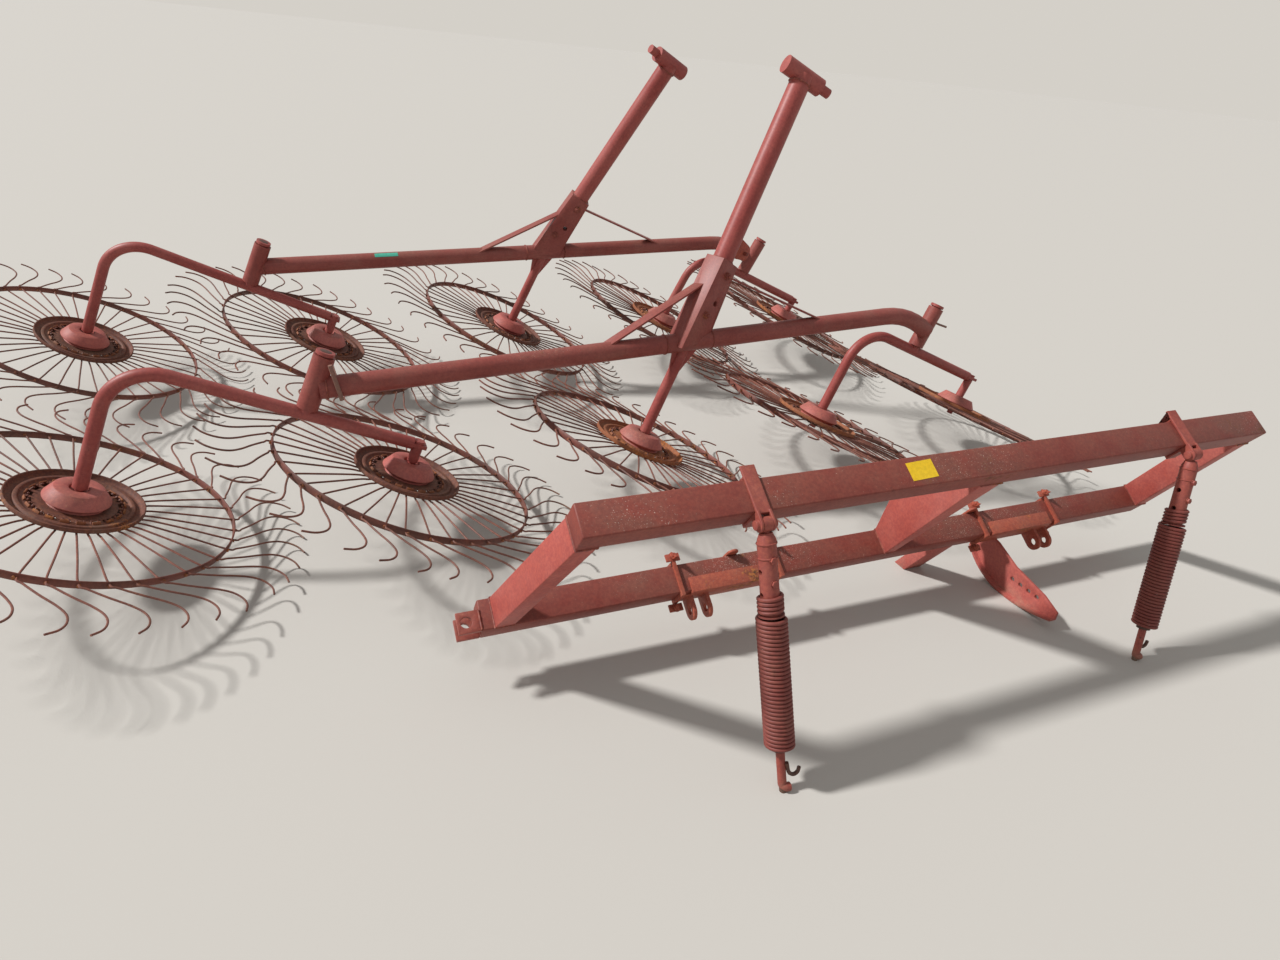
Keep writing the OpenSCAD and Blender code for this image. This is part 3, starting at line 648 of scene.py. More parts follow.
class Tree:
    """Geometry Nodes tree with named inputs, the last of them a material."""

    def __init__(self, name: str, **kinds: str) -> None:
        """Make the tree and its inputs.

        Args:
            name: Name of the tree.
            **kinds: Kind of each input by its name.
        """
        self.name = name
        self.tree = bpy.data.node_groups.new(name, "GeometryNodeTree")
        sockets = self.tree.interface
        for way in ("INPUT", "OUTPUT"):
            sockets.new_socket(name="Geometry", in_out=way, socket_type="NodeSocketGeometry")
        self.sockets = {
            key: sockets.new_socket(name=key, in_out="INPUT", socket_type="NodeSocket" + kind).identifier
            for key, kind in (kinds | {"Material": "Material"}).items()}
        self.graph = GraphMaker(self.tree)
        self.read = self.graph.add("NodeGroupInput").outputs

    def wire(self, curve: Socket, sides: int) -> Socket:
        """Thicken a curve.

        Args:
            curve: Centre line.
            sides: Faces round the wire.

        Returns:
            The wire with closed ends.
        """
        section = self.graph.add("GeometryNodeCurvePrimitiveCircle",
                                 {"Resolution": sides, "Radius": self.read["Wire_radius"]}, mode="RADIUS")
        inputs = {"Curve": curve, "Profile Curve": section.outputs["Curve"], "Fill Caps": True}
        return self.graph.add("GeometryNodeCurveToMesh", inputs).outputs["Mesh"]

    def close(self, geometry: Socket) -> None:
        """Realize, set the material and give the result out."""
        real = self.graph.add("GeometryNodeRealizeInstances", {"Geometry": geometry}).outputs["Geometry"]
        inputs = {"Geometry": real, "Material": self.read["Material"]}
        painted = self.graph.add("GeometryNodeSetMaterial", inputs).outputs["Geometry"]
        self.graph.add("NodeGroupOutput", {"Geometry": painted})

    def apply(self, obj: Object, **values: object) -> None:
        """Put the tree on an object with values for its inputs.

        Args:
            obj: The object.
            **values: Input values by name.
        """
        modifier = obj.modifiers.new(self.name, "NODES")
        modifier.node_group = self.tree
        for name, value in values.items():
            modifier[self.sockets[name]] = value


class WireRing(Tree):
    """Tree that thickens one wire, repeats it round z and bends each copy a little."""

    SIDES = 7

    def __init__(self) -> None:
        """Build the tree."""
        super().__init__("wire_ring", Count="Int", Wire_radius="Float", Bend="Float", Seed="Int")
        g, read = self.graph, self.read
        curve = g.add("GeometryNodeMeshToCurve", {"Mesh": read["Geometry"]}).outputs["Curve"]
        points = g.add("GeometryNodePoints", {"Count": read["Count"]}).outputs["Points"]
        index = g.add("GeometryNodeInputIndex").outputs["Index"]
        share = g.add("ShaderNodeMath", {0: index, 1: read["Count"]}, operation="DIVIDE").outputs[0]
        angle = g.add("ShaderNodeMath", {0: share, 1: 2 * math.pi}, operation="MULTIPLY").outputs[0]
        limits = {"Min": (-1.0, -0.8, -1.0), "Max": (1.0, 0.0, 1.0), "Seed": read["Seed"]}
        jitter = g.add("FunctionNodeRandomValue", limits, data_type="FLOAT_VECTOR").outputs["Value"]
        bend = g.add("ShaderNodeVectorMath", {"Vector": jitter, "Scale": read["Bend"]}, operation="SCALE")
        parts = g.add("ShaderNodeSeparateXYZ", {"Vector": bend.outputs["Vector"]}).outputs
        around = g.add("ShaderNodeMath", {0: angle, 1: parts["Z"]}, operation="ADD").outputs[0]
        turn = g.add("ShaderNodeCombineXYZ", {"Y": parts["Y"], "Z": around}).outputs["Vector"]
        inputs = {"Points": points, "Instance": self.wire(curve, self.SIDES), "Rotation": turn}
        self.close(g.add("GeometryNodeInstanceOnPoints", inputs).outputs["Instances"])


class WoundWire(Tree):
    """Tree that winds one wire into a coil along z."""

    SIDES = 10

    def __init__(self) -> None:
        """Build the tree."""
        super().__init__("wound_wire", Turns="Float", Radius="Float", Length="Float",
                         Wire_radius="Float", Steps="Int")
        read = self.read
        coil = self.graph.add("GeometryNodeCurveSpiral", {
            "Resolution": read["Steps"], "Rotations": read["Turns"], "Start Radius": read["Radius"],
            "End Radius": read["Radius"], "Height": read["Length"]})
        self.close(self.wire(coil.outputs["Curve"], self.SIDES))


@dataclass
class Workshop:
    """What every sub-assembly needs to be built and dressed."""

    frame: dict
    paint: PaintShop
    wires: WireRing
    coils: WoundWire
    pieces: int = 0
    FLAT_DEG = 1.0

    def keep(self, obj: Object, body: str, slot: str, *nodes: str) -> Object:
        """Tie a finished piece to its body and report it.

        Args:
            obj: The piece.
            body: Body that it moves with.
            slot: Material slot of the record; not used.
            *nodes: Nodes that it stands for.

        Returns:
            The piece.
        """
        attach(obj, body)
        if nodes:
            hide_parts(*nodes)
        self.pieces += 1
        log.info("%s rides on %s, %d faces", obj.name, body, len(obj.data.polygons))
        return obj

    def soften(self, node: str, width: float, finish: Finish, slot: str) -> Object:
        """Stand in for a node of the fixed frame with a copy whose edges are rounded.

        Args:
            node: Name of the node.
            width: Width of the rounding.
            finish: Finish of the copy.
            slot: Material slot of the record.

        Returns:
            The copy.
        """
        source = self.frame["nodes"][node]
        shape = Shape()
        shape.mesh.from_mesh(source.data)
        bmesh.ops.transform(shape.mesh, matrix=source.matrix_world, verts=shape.mesh.verts)
        shape.weld()
        bmesh.ops.dissolve_limit(shape.mesh, angle_limit=math.radians(self.FLAT_DEG), verts=shape.mesh.verts,
                                 edges=shape.mesh.edges)
        obj = shape.finish(self, node + "_dressed", finish, bevel=width)
        return self.keep(obj, "root", slot, node)

    def joint(self, name: str) -> dict:
        """Return a joint of the frame by name."""
        return next(j for j in self.frame["joints"] if j["name"] == name)


@dataclass
class Stand:
    """Where one sub-assembly stands in the row of parked pieces."""

    at: tuple[float, float, float]
    roll_deg: float
    rise_deg: float
    yaw_deg: float
    mirrored: bool = False

    def place(self) -> Matrix:
        """Return the matrix from the sub-assembly's frame to the model's."""
        flip = Matrix.Diagonal((1, -1 if self.mirrored else 1, 1, 1))
        turn = turned(self.roll_deg, -self.rise_deg, self.yaw_deg)
        return Matrix.Translation(Vector(self.at) - ROW_MIDDLE) @ turn @ flip


@dataclass
class FingerWheel:
    """Wheel of spring tines: pan with a cap, rim hoop and wires, about z, with the rim's middle at zero."""

    rim_r: float = 0.500
    rim_h: float = 0.026
    rim_t: float = 0.006
    tines: int = 40
    wire_r: float = 0.0035
    pan_r: float = 0.207
    neck_r: float = 0.084
    cap_r: float = 0.102
    cap_top_r: float = 0.075
    cap_foot: float = 0.020
    cap_up: float = 0.060
    hole_r: float = 0.0158
    slot_in_r: float = 0.124
    slot_out_r: float = 0.141
    sweep: tuple[tuple[float, float], ...] = (
        (0.000, 0.0), (0.025, 2.5), (0.070, 7.8), (0.110, 12.0), (0.150, 14.4), (0.190, 14.7), (0.225, 13.4),
        (0.250, 11.0))
    bend: float = 0.017
    sheet_t: float = 0.003
    tab: tuple[float, float, float] = (0.005, 0.026, 0.0095)
    tab_tilt_deg: float = -24.0
    # Heights of the clamp ring behind the slots; its dark colour is painted shade for the slots.
    clamp_shade_z: tuple[float, float] = (-0.0145, -0.0115)
    hub_r: float = 0.046
    hub_low: float = -0.030
    round_steps: int = 240
    pan_finish: Finish = PAN_RUST

    def phase(self) -> Matrix:
        """Return the turn that brings the pan's slots between the two tines of each pair."""
        return turned(z_deg=180 / self.tines - self.sweep[-1][1])

    def tine_path(self) -> Path:
        """Return the centre line of one tine, from its hook in the slot to its tip."""
        slot, pan = self.slot_out_r, self.pan_r
        spoke = points((slot - 0.008, 0, 0.007), (slot - 0.003, 0, 0.001), (slot + 0.010, 0, -0.0075),
                       (pan - 0.010, 0, -0.0065), (pan + 0.030, 0, -0.002), (0.36, 0, 0))
        swept = [Vector((*arc([angle], self.rim_r + reach)[0], 0)) for reach, angle in self.sweep]
        return smooth_path([*spoke, *swept], 4)

    def wire_object(self, name: str, shop: Workshop, seed: int) -> Object:
        """Build all the tines as one mesh.

        Args:
            name: Name of the piece.
            shop: Materials and trees.
            seed: Seed of the tines' bends.

        Returns:
            The tines, in the wheel's own frame.
        """
        turn = turned(z_deg=-self.sweep[-1][1])
        path = [turn @ p for p in self.tine_path()]
        data = bpy.data.meshes.new(name)
        data.from_pydata(path, [(i, i + 1) for i in range(len(path) - 1)], [])
        obj = linked(name, data)
        shop.wires.apply(obj, Count=self.tines, Wire_radius=self.wire_r, Bend=self.bend, Seed=seed,
                         Material=shop.paint.get(WIRE_RUST))
        return settle(obj)

    def pan(self, shop: Workshop) -> Object:
        """Build the pressed pan with its row of slots, its raised ring and its rolled edge, and the dark
        clamp ring behind the slots, whose dark colour is painted shade seen through them.
        """
        slot_in, slot_out, edge = (self.slot_in_r, 0.0), (self.slot_out_r, 0.0), self.pan_r
        ring = [(0.158, 0.0), (0.161, 0.003), (0.164, 0.0075), (0.169, 0.0088), (0.174, 0.0075),
                (0.177, 0.003), (0.180, 0.0)]
        rolled = [(0.190, 0.0), (0.195, 0.003), (0.1985, 0.011), (0.2005, 0.0165), (0.2035, 0.018),
                  (0.2063, 0.0168), (edge, 0.012), (edge, 0.005), (0.2055, 0.002)]
        profile = [(self.hole_r, 0.0), (self.neck_r, 0.0), (self.slot_in_r - 0.004, 0.0), slot_in, slot_out,
                   (self.slot_out_r + 0.004, 0.0), *ring, *rolled]
        slot_band = profile.index(slot_in)
        per_slot = 2 * self.round_steps // self.tines
        bridge = per_slot // 3

        def slot(band: int, step: int) -> bool:
            """Leave two thirds of each pitch of the slot's band open, with the slot's middle at zero."""
            return band == slot_band and (step + (per_slot - bridge) // 2) % per_slot < per_slot - bridge

        shape = Shape()
        shape.revolve(profile, self.round_steps, slot)
        sheet = shape.finish(shop, "pan", self.pan_finish, self.phase(), wall=self.sheet_t)
        tabs = Shape()
        lean = shift(self.slot_out_r + 0.003, 0, 0.0042) @ turned(y_deg=self.tab_tilt_deg)
        for k in range(self.tines // 2):
            tabs.block(self.tab, turned(z_deg=720 * k / self.tines) @ lean)
        # Clamp ring behind the slots, kept dark as painted shade seen through the slots.
        back = Shape()
        low, high = self.clamp_shade_z
        inner, outer = self.slot_in_r - 0.010, self.slot_out_r + 0.012
        back.revolve([(inner, high), (outer, high), (outer, low), (inner, low), (inner, high)], 80)
        return joined("pan", [sheet, tabs.finish(shop, "tabs", PAN_ORANGE, self.phase(), bevel=0.0008),
                              back.finish(shop, "clamp_shade_ring", DARK_RUST, self.phase())])

    def cap(self, shop: Workshop) -> Object:
        """Build the sharp-edged cap on its neck, with a hollow round the leg."""
        edge, top, foot, up, neck = self.cap_r, self.cap_top_r, self.cap_foot, self.cap_up, self.neck_r
        shape = Shape()
        shape.revolve([(neck + 0.004, 0.0003), (neck + 0.001, 0.005), (edge - 0.003, foot - 0.003),
                       (edge - 0.0005, foot - 0.002), (edge, foot), (edge - 0.0006, foot + 0.002),
                       (top + 0.0012, up - 0.0016), (top - 0.0015, up), (0.034, up), (0.031, up - 0.002),
                       (0.029, up - 0.012), (self.hole_r, up - 0.012), (self.hole_r, 0.0003),
                       (neck + 0.004, 0.0003)], 72)
        return shape.finish(shop, "cap", CAP_RED, smooth_deg=20.0)

    def hub(self, shop: Workshop) -> Object:
        """Build the turned hub that carries the pan on the spindle."""
        hole, edge, low = self.hole_r, self.hub_r, self.hub_low
        shape = Shape()
        shape.revolve([(hole, -0.004), (edge, -0.004), (edge, low + 0.003), (edge - 0.003, low), (hole, low),
                       (hole, -0.004)], 40)
        return shape.finish(shop, "hub", DARK_RUST)

    def rim(self, shop: Workshop) -> Object:
        """Build the rim hoop with rolled edges, and the small sleeves that hold the tines."""
        high, r, inner = self.rim_h / 2, self.rim_r, self.rim_r - self.rim_t
        section = [(inner, 0.002 - high), (inner + 0.0015, -high), (r - 0.0015, -high), (r, 0.002 - high),
                   (r, high - 0.002), (r - 0.0015, high), (inner + 0.0015, high), (inner, high - 0.002)]
        shape = Shape()
        shape.revolve([*section, section[0]], self.round_steps)
        hoop = shape.finish(shop, "hoop", RIM_RUST)
        sleeves = Shape()
        for k in range(self.tines):
            turn = turned(z_deg=k * 360 / self.tines - self.sweep[-1][1])
            sleeves.tube([turn @ Vector((r - 0.009, 0, 0)), turn @ Vector((r + 0.006, 0.0006, 0))], 0.0058, 8)
        return joined("rim", [hoop, sleeves.finish(shop, "sleeves", PAN_ORANGE)])

    def build(self, name: str, shop: Workshop, place: Matrix, seed: int) -> Object:
        """Build one wheel.

        Args:
            name: The wheel's node and body.
            shop: Materials and trees.
            place: The wheel's place in the model.
            seed: Seed of the tines' bends.

        Returns:
            The wheel as one piece.
        """
        parts = [make(shop) for make in (self.pan, self.cap, self.hub, self.rim)]
        parts.append(self.wire_object(name + "_wires", shop, seed))
        return settle(joined(name + "_dressed", parts), place)


def smooth_path(points: Path, steps: int) -> Path:
    """Run a smooth curve through points.

    Args:
        points: Points that the curve passes.
        steps: Pieces between two points.

    Returns:
        The finer path.
    """
    ends = [points[0] * 2 - points[1], *points, points[-1] * 2 - points[-2]]
    fine: Path = []
    for i in range(1, len(ends) - 2):
        a, b, c, d = ends[i - 1:i + 3]
        for k in range(steps):
            t = k / steps
            square, cube = a * 2 - b * 5 + c * 4 - d, b * 3 - a - c * 3 + d
            fine.append(((b * 2) + (c - a) * t + square * t * t + cube * t ** 3) / 2)
    fine.append(points[-1].copy())
    return fine


@dataclass
class Gang:
    """One gang: beam, mast, rockers and five wheels."""

    name: str
    stand: Stand
    sunlit: tuple[int, ...] = ()
    bracket: bool = False
    wheels: int = 5
    mast_lean_deg: float = 30.5
    mast_turn_deg: float = 18.0
    mast_r: float = 0.044
    mast_len: float = 1.180
    socket_len: float = 0.370
    socket_half: float = 0.048
    beam_r: float = 0.040
    left_end: float = -1.504
    bead_r: float = 0.004
    bolt_spots: tuple[tuple[float, float], ...] = ((0.012, 0.315), (-0.012, 0.130))
    plate_sides: tuple[float, ...] = (-0.022, 0.012)
    plate_up: float = 0.400
    pin_up: float = 0.443
    pin_len: float = 0.078
    label_start: float = -0.930
    label_len: float = 0.118
    pin_end_up: float = 0.2476

    def build(self, shop: Workshop) -> None:
        """Build and dress the gang's pieces."""
        place = self.stand.place()
        axle = turned(y_deg=AXLE_LEAN_DEG)
        basis = place.to_3x3().to_4x4() @ axle
        for number in range(1, self.wheels + 1):
            node = f"{self.name}_wheel_{number}"
            # A wheel listed in sunlit gets the brighter orange pan: painted sunlight, a lit copy of the rusty
            # pan.
            wheel = FingerWheel(pan_finish=PAN_ORANGE) if number in self.sunlit else FingerWheel()
            at = Vector(shop.joint(node + "_spin")["pos_m"])
            obj = wheel.build(node, shop, Matrix.Translation(at) @ basis, seed=number + 10 * len(self.name))
            shop.keep(obj, node, "wheel_rust", node)
        for part in ("socket", "braces"):
            shop.soften(f"{self.name}_{part}", 0.0025, GANG_RED, "faded_red")
        self.seams(shop, place)
        self.fasteners(shop, place)
        self.pivots(shop, basis)

    def mast(self) -> Matrix:
        """Return the mast's leaning frame in the gang's own."""
        return turned(y_deg=self.mast_lean_deg, z_deg=self.mast_turn_deg)

    def seams(self, shop: Workshop, place: Matrix) -> None:
        """Lay the weld beads of the beam, the mast and the cross tube."""
        rng = random.Random(self.name + "seams")
        shape = Shape()
        for up in (self.socket_len + 0.001, self.mast_len - 0.036):
            shape.ring_seam(self.mast() @ shift(0, 0, up), self.mast_r + 0.001, self.bead_r, rng)
        for x, proud, radius in ((-0.110, 0.0006, 0.0032), (0.112, 0.0006, 0.0032),
                                 (self.left_end + 0.040, 0.001, self.bead_r)):
            shape.ring_seam(shift(x, 0, 0) @ turned(y_deg=90), self.beam_r + proud, radius, rng)
        shop.keep(shape.finish(shop, self.name + "_welds", SEAM_RED, place), "root", "faded_red")

    def fasteners(self, shop: Workshop, place: Matrix) -> None:
        """Add the socket's bolts, and on one gang the small bracket, on the other a bare sticker."""
        shape = Shape()
        for side in (-1, 1):
            for x, z in self.bolt_spots:
                seat = self.mast() @ shift(x, -side * self.socket_half, z) @ turned(x_deg=90 * side)
                shape.bolt(0.030, 0.012, seat, stub=0.008)
        if self.bracket:
            pin = self.mast() @ shift(self.mast_r + 0.046, -0.040, self.pin_up) @ turned(x_deg=-90)
            shape.tube([pin @ Vector((0, 0, 0)), pin @ Vector((0, 0, self.pin_len))], 0.008, 12)
            shape.bolt(0.028, 0.012, pin @ shift(0, 0, 0.070))
        bolts = shape.finish(shop, self.name + "_bolts", SEAM_RED, place, bevel=0.001)
        shop.keep(bolts, "root", "faded_red")
        if self.bracket:
            self.bracket_plates(shop, place)
        else:
            self.blank_label(shop, place)

    def bracket_plates(self, shop: Workshop, place: Matrix) -> None:
        """Add the two holed plates of the mast and the loose pin at the beam's end."""
        end = self.left_end + 0.062
        loose = Shape()
        loose.tube(points((end, -0.049, 0.098), (end + 0.022, -0.049, -0.036)), 0.0078, 12)
        plates = Shape()
        for y in self.plate_sides:
            self.holed_plate(plates, self.mast() @ shift(self.mast_r - 0.006, y, self.plate_up))
        pin = loose.finish(shop, self.name + "_loose_pin", PIN_RUST, place)
        pair = plates.finish(shop, self.name + "_plates", BRACKET_RED, place, bevel=0.001)
        shop.keep(joined(self.name + "_bracket", [pin, pair]), "root", "bracket_red")

    def blank_label(self, shop: Workshop, place: Matrix) -> None:
        """Lay a bare sticker on the beam."""
        degrees = range(136, 172, 5)
        outline = [*arc(degrees, self.beam_r + 0.0009), *arc(reversed(degrees), self.beam_r + 0.0002)]
        shape = Shape()
        shape.prism(outline, 0.0, self.label_len, shift(self.label_start, 0, 0) @ turned(y_deg=90))
        tag = shape.finish(shop, self.name + "_blank_label", GREEN_LABEL, place)
        shop.keep(tag, "root", "faded_red")

    def holed_plate(self, shape: Shape, place: Matrix) -> None:
        """Add an upright plate with a rounded outer end, its root at zero and its run along x.

        Args:
            shape: Shape that takes it.
            place: Where the plate goes.
        """
        nose = arc(range(-90, 91, 15), 0.028, 0.034, x=0.058, y=0.048)
        shape.prism([(0.0, 0.0), *nose, (0.0, 0.088)], -0.010, 0.0, place @ turned(x_deg=90))

    def pivots(self, shop: Workshop, basis: Matrix) -> None:
        """Add the thin dark discs on the pivot pins, painted shade of an open pin end, and the beads where
        rockers meet their pins.
        """
        for side in ("left", "right"):
            joint = shop.joint(f"{self.name}_{side}_swing")
            place = Matrix.Translation(joint["pos_m"]) @ basis
            rng = random.Random(self.name + side)
            shape = Shape()
            shape.ring_seam(shift(0, 0, 0.0235), 0.027, 0.0028, rng)
            bead = shape.finish(shop, f"{self.name}_{side}_bead", SEAM_RED, place)
            # Thin dark disc on the pin's end: painted shade standing for a hollow end.
            hole_shade = Shape()
            top, seat = self.pin_end_up, self.pin_end_up - 0.0005
            hole_shade.revolve([(0.0, seat), (0.0, top), (0.020, top), (0.0215, seat)], 28)
            dark = hole_shade.finish(shop, f"{self.name}_{side}_mouth", DARK_RUST, place)
            shop.keep(joined(f"{self.name}_{side}_pin_end", [bead, dark]), f"{self.name}_{side}", "faded_red")
        if self.bracket:
            stud = Shape()
            stud.tube(points((0.026, 0, 0.165), (0.078, -0.004, 0.168), (0.122, -0.010, 0.172)), 0.0052)
            shop.keep(stud.finish(shop, self.name + "_stud", PIN_RUST, place), "root", "rust")


@dataclass
class SpringStrut:
    """One spring strut of the hitch frame, from its strap's bolt down to its foot."""

    side: str
    bolt: tuple[float, float, float]
    foot: tuple[float, float, float]
    tube_len: float = 0.255
    tube_r: float = 0.027
    coil_r: float = 0.045
    wire_r: float = 0.006
    turns: float = 33.0
    coil_steps: int = 30
    seams_z: tuple[float, ...] = (-0.052, -0.092)
    bolts_z: tuple[float, ...] = (-0.097, -0.163)
    upper_turns: int = 4
    upper_steps: int = 24
    disc_r: float = 0.0375
    hook_r: float = 0.0060
    cover_r: float = 0.0132

    def place(self, frame_place: Matrix) -> Matrix:
        """Return the strut's place: zero at the bolt, z up the strut."""
        head = frame_place @ Vector(self.bolt)
        up = (head - (Vector(self.foot) - ROW_MIDDLE)).normalized()
        turn = Vector((0, 0, 1)).rotation_difference(up).to_matrix().to_4x4()
        return Matrix.Translation(head) @ turn

    def build(self, shop: Workshop, frame_place: Matrix) -> None:
        """Build the wound spring, the collars of the tube and the hook at the foot."""
        length = self.turns * 2 * self.wire_r
        place = self.place(frame_place)
        name = f"{self.side}_wound_spring"
        obj = linked(name, bpy.data.meshes.new(name))
        shop.coils.apply(obj, Turns=self.turns - 1, Radius=self.coil_r - self.wire_r,
                         Length=length - 2 * self.wire_r, Wire_radius=self.wire_r * 0.97,
                         Steps=self.coil_steps, Material=shop.paint.get(SPRING_RED))
        low = shift(0, 0, -self.tube_len - length + self.wire_r - 0.0003)
        settle(obj, place @ low)
        shop.keep(obj, "root", "spring_red", f"{self.side}_spring")
        self.collars(shop, place)
        self.hooks(shop, frame_place)

    def collars(self, shop: Workshop, place: Matrix) -> None:
        """Add the weld beads and the taper of the upper tube, and the turns wound on its lower end."""
        rng = random.Random(self.side)
        shape = Shape()
        for z in self.seams_z:
            shape.ring_seam(shift(0, 0, z), self.tube_r + 0.0002, 0.0026, rng)
        shape.revolve([(0.0, -0.0515), (self.tube_r, -0.0515), (self.tube_r - 0.002, -0.040), (0.018, -0.023),
                       (0.0, -0.021)], 32)
        for z in self.bolts_z:
            shape.bolt(0.020, 0.008, shift(0, -self.tube_r + 0.001, z) @ turned(x_deg=90))
        collars = shape.finish(shop, f"{self.side}_collars", STRUT_RED, place)
        low, ring = -self.tube_len + self.wire_r - 0.0002, self.tube_r + self.wire_r * 0.9
        steps, disc = self.upper_steps, self.disc_r
        rise = 2 * self.wire_r / steps
        helix = arc((360 / steps * k for k in range(steps * self.upper_turns + 1)), ring)
        wound = Shape()
        wound.tube([Vector((x, y, low + rise * k)) for k, (x, y) in enumerate(helix)], self.wire_r * 0.96, 8)
        wound.revolve([(0.0, low - 0.004), (disc, low - 0.0045), (disc, low - 0.0085),
                       (0.0, low - 0.009)], 32)
        turns = wound.finish(shop, f"{self.side}_upper_turns", SPRING_RED, place)
        shop.keep(joined(f"{self.side}_tube_end", [collars, turns]), "root", "faded_red")

    def hooks(self, shop: Workshop, frame_place: Matrix) -> None:
        """Add the small hook beside the foot rod, and its painted skin with the short toe."""
        foot = Vector(self.foot) - ROW_MIDDLE
        shape = Shape()
        hook = points((0.006, 0.018, 0.092), (0.016, 0.014, 0.060), (0.026, 0.012, 0.046),
                      (0.038, 0.010, 0.043), (0.047, 0.009, 0.052), (0.048, 0.009, 0.068))
        shape.tube([foot + p for p in smooth_path(hook, 4)], self.hook_r, 8)
        small = shape.finish(shop, f"{self.side}_hook", DARK_RUST)
        length = self.tube_len + self.turns * 2 * self.wire_r
        head = frame_place @ Vector(self.bolt)
        up = (head - foot).normalized()
        cover = Shape()
        sleeve = [head - up * length, foot + up * 0.032, foot + up * 0.020 + Vector((0.001, 0, 0)),
                  foot + Vector((0.007, -0.001, 0.0145)), foot + Vector((0.019, -0.003, 0.0136))]
        cover.tube([sleeve[0], *smooth_path(sleeve[1:], 4)], self.cover_r, 14)
        rod = cover.finish(shop, f"{self.side}_foot_cover", STRUT_RED)
        shop.keep(joined(f"{self.side}_foot", [small, rod]), "root", "rust")


@dataclass
class HitchFrame:
    """The leaning frame that a tractor's linkage carries."""

    stand: Stand
    struts: tuple[SpringStrut, ...]
    top_len: float = 2.714
    depth: float = 0.100
    box_h: float = 0.080
    drop: float = 0.637
    left_slant: float = 0.127
    right_slant: float = 0.098
    strut_w: float = 0.062
    centre_x: float = 1.360
    centre_head_w: float = 0.092
    centre_foot_w: float = 0.045
    brackets: tuple[tuple[float, int], ...] = ((0.503, 1), (2.262, -1))
    bracket_len: float = 0.402
    tabs_x: tuple[float, ...] = (0.735, 1.842)
    tab_r: float = 0.021
    tab_t: float = 0.008

    def build(self, shop: Workshop) -> None:
        """Build and dress the frame's pieces."""
        place = self.stand.place()
        for nodes, width, finish, slot in (
                (("top_beam", "lower_beam"), 0.005, BEAM_RED, "rusty_red"),
                (("left_strut", "centre_strut", "right_strut"), 0.004, FRAME_RED, "faded_red"),
                (("stand_leg", "hole_bar"), 0.0015, FRAME_RED, "faded_red"),
                (("left_lug", "left_strap", "right_strap"), 0.0015, STRUT_RED, "faded_red"),
                (("left_hitch", "right_hitch"), 0.0015, BRACKET_RED, "bracket_red")):
            for node in nodes:
                shop.soften(node, width, finish, slot)
        for strut in self.struts:
            strut.build(shop, place)
        self.seams(shop, place)
        self.clamp_rods(shop, place)
        self.label(shop, place)

    def seams(self, shop: Workshop, place: Matrix) -> None:
        """Lay the weld beads round the heads and feet of the struts and the root of the lug."""
        rng = random.Random("frame seams")
        shape = Shape()
        low = -self.drop
        heads = ((0.0, self.strut_w), (self.centre_x, self.centre_head_w),
                 (self.top_len - self.strut_w, self.strut_w))
        feet = ((-self.left_slant, self.strut_w), (self.centre_x, self.centre_foot_w),
                (self.top_len + self.right_slant - self.strut_w, self.strut_w))
        for z, ends in ((-self.box_h, heads), (low, feet)):
            for x, width in ends:
                far = x + width
                loop = points((x, 0, z), (far, 0, z), (far, self.depth, z), (x, self.depth, z))
                shape.seam(loop, 0.0038, rng, closed=True)
        root = -self.left_slant - 0.040
        for z in (low, low - self.box_h):
            shape.seam(points((root, 0.004, z), (root, 0.066, z)), 0.004, rng)
        shop.keep(shape.finish(shop, "frame_welds", SEAM_RED, place), "root", "faded_red")

    def clamp_rods(self, shop: Workshop, place: Matrix) -> None:
        """Add the round bolts of the bracket clamps, with nuts and bent tabs behind the beam."""
        shape = Shape()
        top = -self.drop + 0.012
        for start, way in self.brackets:
            for step in (0.006, self.bracket_len - 0.006):
                x = start + way * step
                for y, z in ((self.depth + 0.025, top), (-0.025, top - 0.096)):
                    shape.bolt(0.026, 0.011, shift(x, y, z), stub=0.010)
                fin = [(0.0, 0.0), (0.030, 0.0), (0.0, 0.034)]
                stand = shift(x - 0.004, self.depth + 0.013, top) @ turned(x_deg=90, z_deg=90)
                shape.prism(fin, 0.0, self.tab_t, stand)
        for x in self.tabs_x:
            head = arc(range(0, 181, 15), self.tab_r, y=0.012)
            tab = shift(x, self.depth + 0.0085, top - 0.012) @ turned(x_deg=90)
            shape.prism([(-self.tab_r, -0.050), (self.tab_r, -0.050), *head], 0.0, self.tab_t, tab)
        shop.keep(shape.finish(shop, "clamp_bolts", BRACKET_RED, place, bevel=0.001), "root", "bracket_red")

    def label(self, shop: Workshop, place: Matrix) -> None:
        """Lay a bare yellow sticker on the top beam."""
        shape = Shape()
        outline = [(1.040, 0.020), (1.138, 0.024), (1.136, 0.084), (1.038, 0.080)]
        shape.prism(outline, 0.0002, 0.0009, Matrix.Identity(4))
        shop.keep(shape.finish(shop, "blank_label", YELLOW_LABEL, place), "root", "rusty_red")


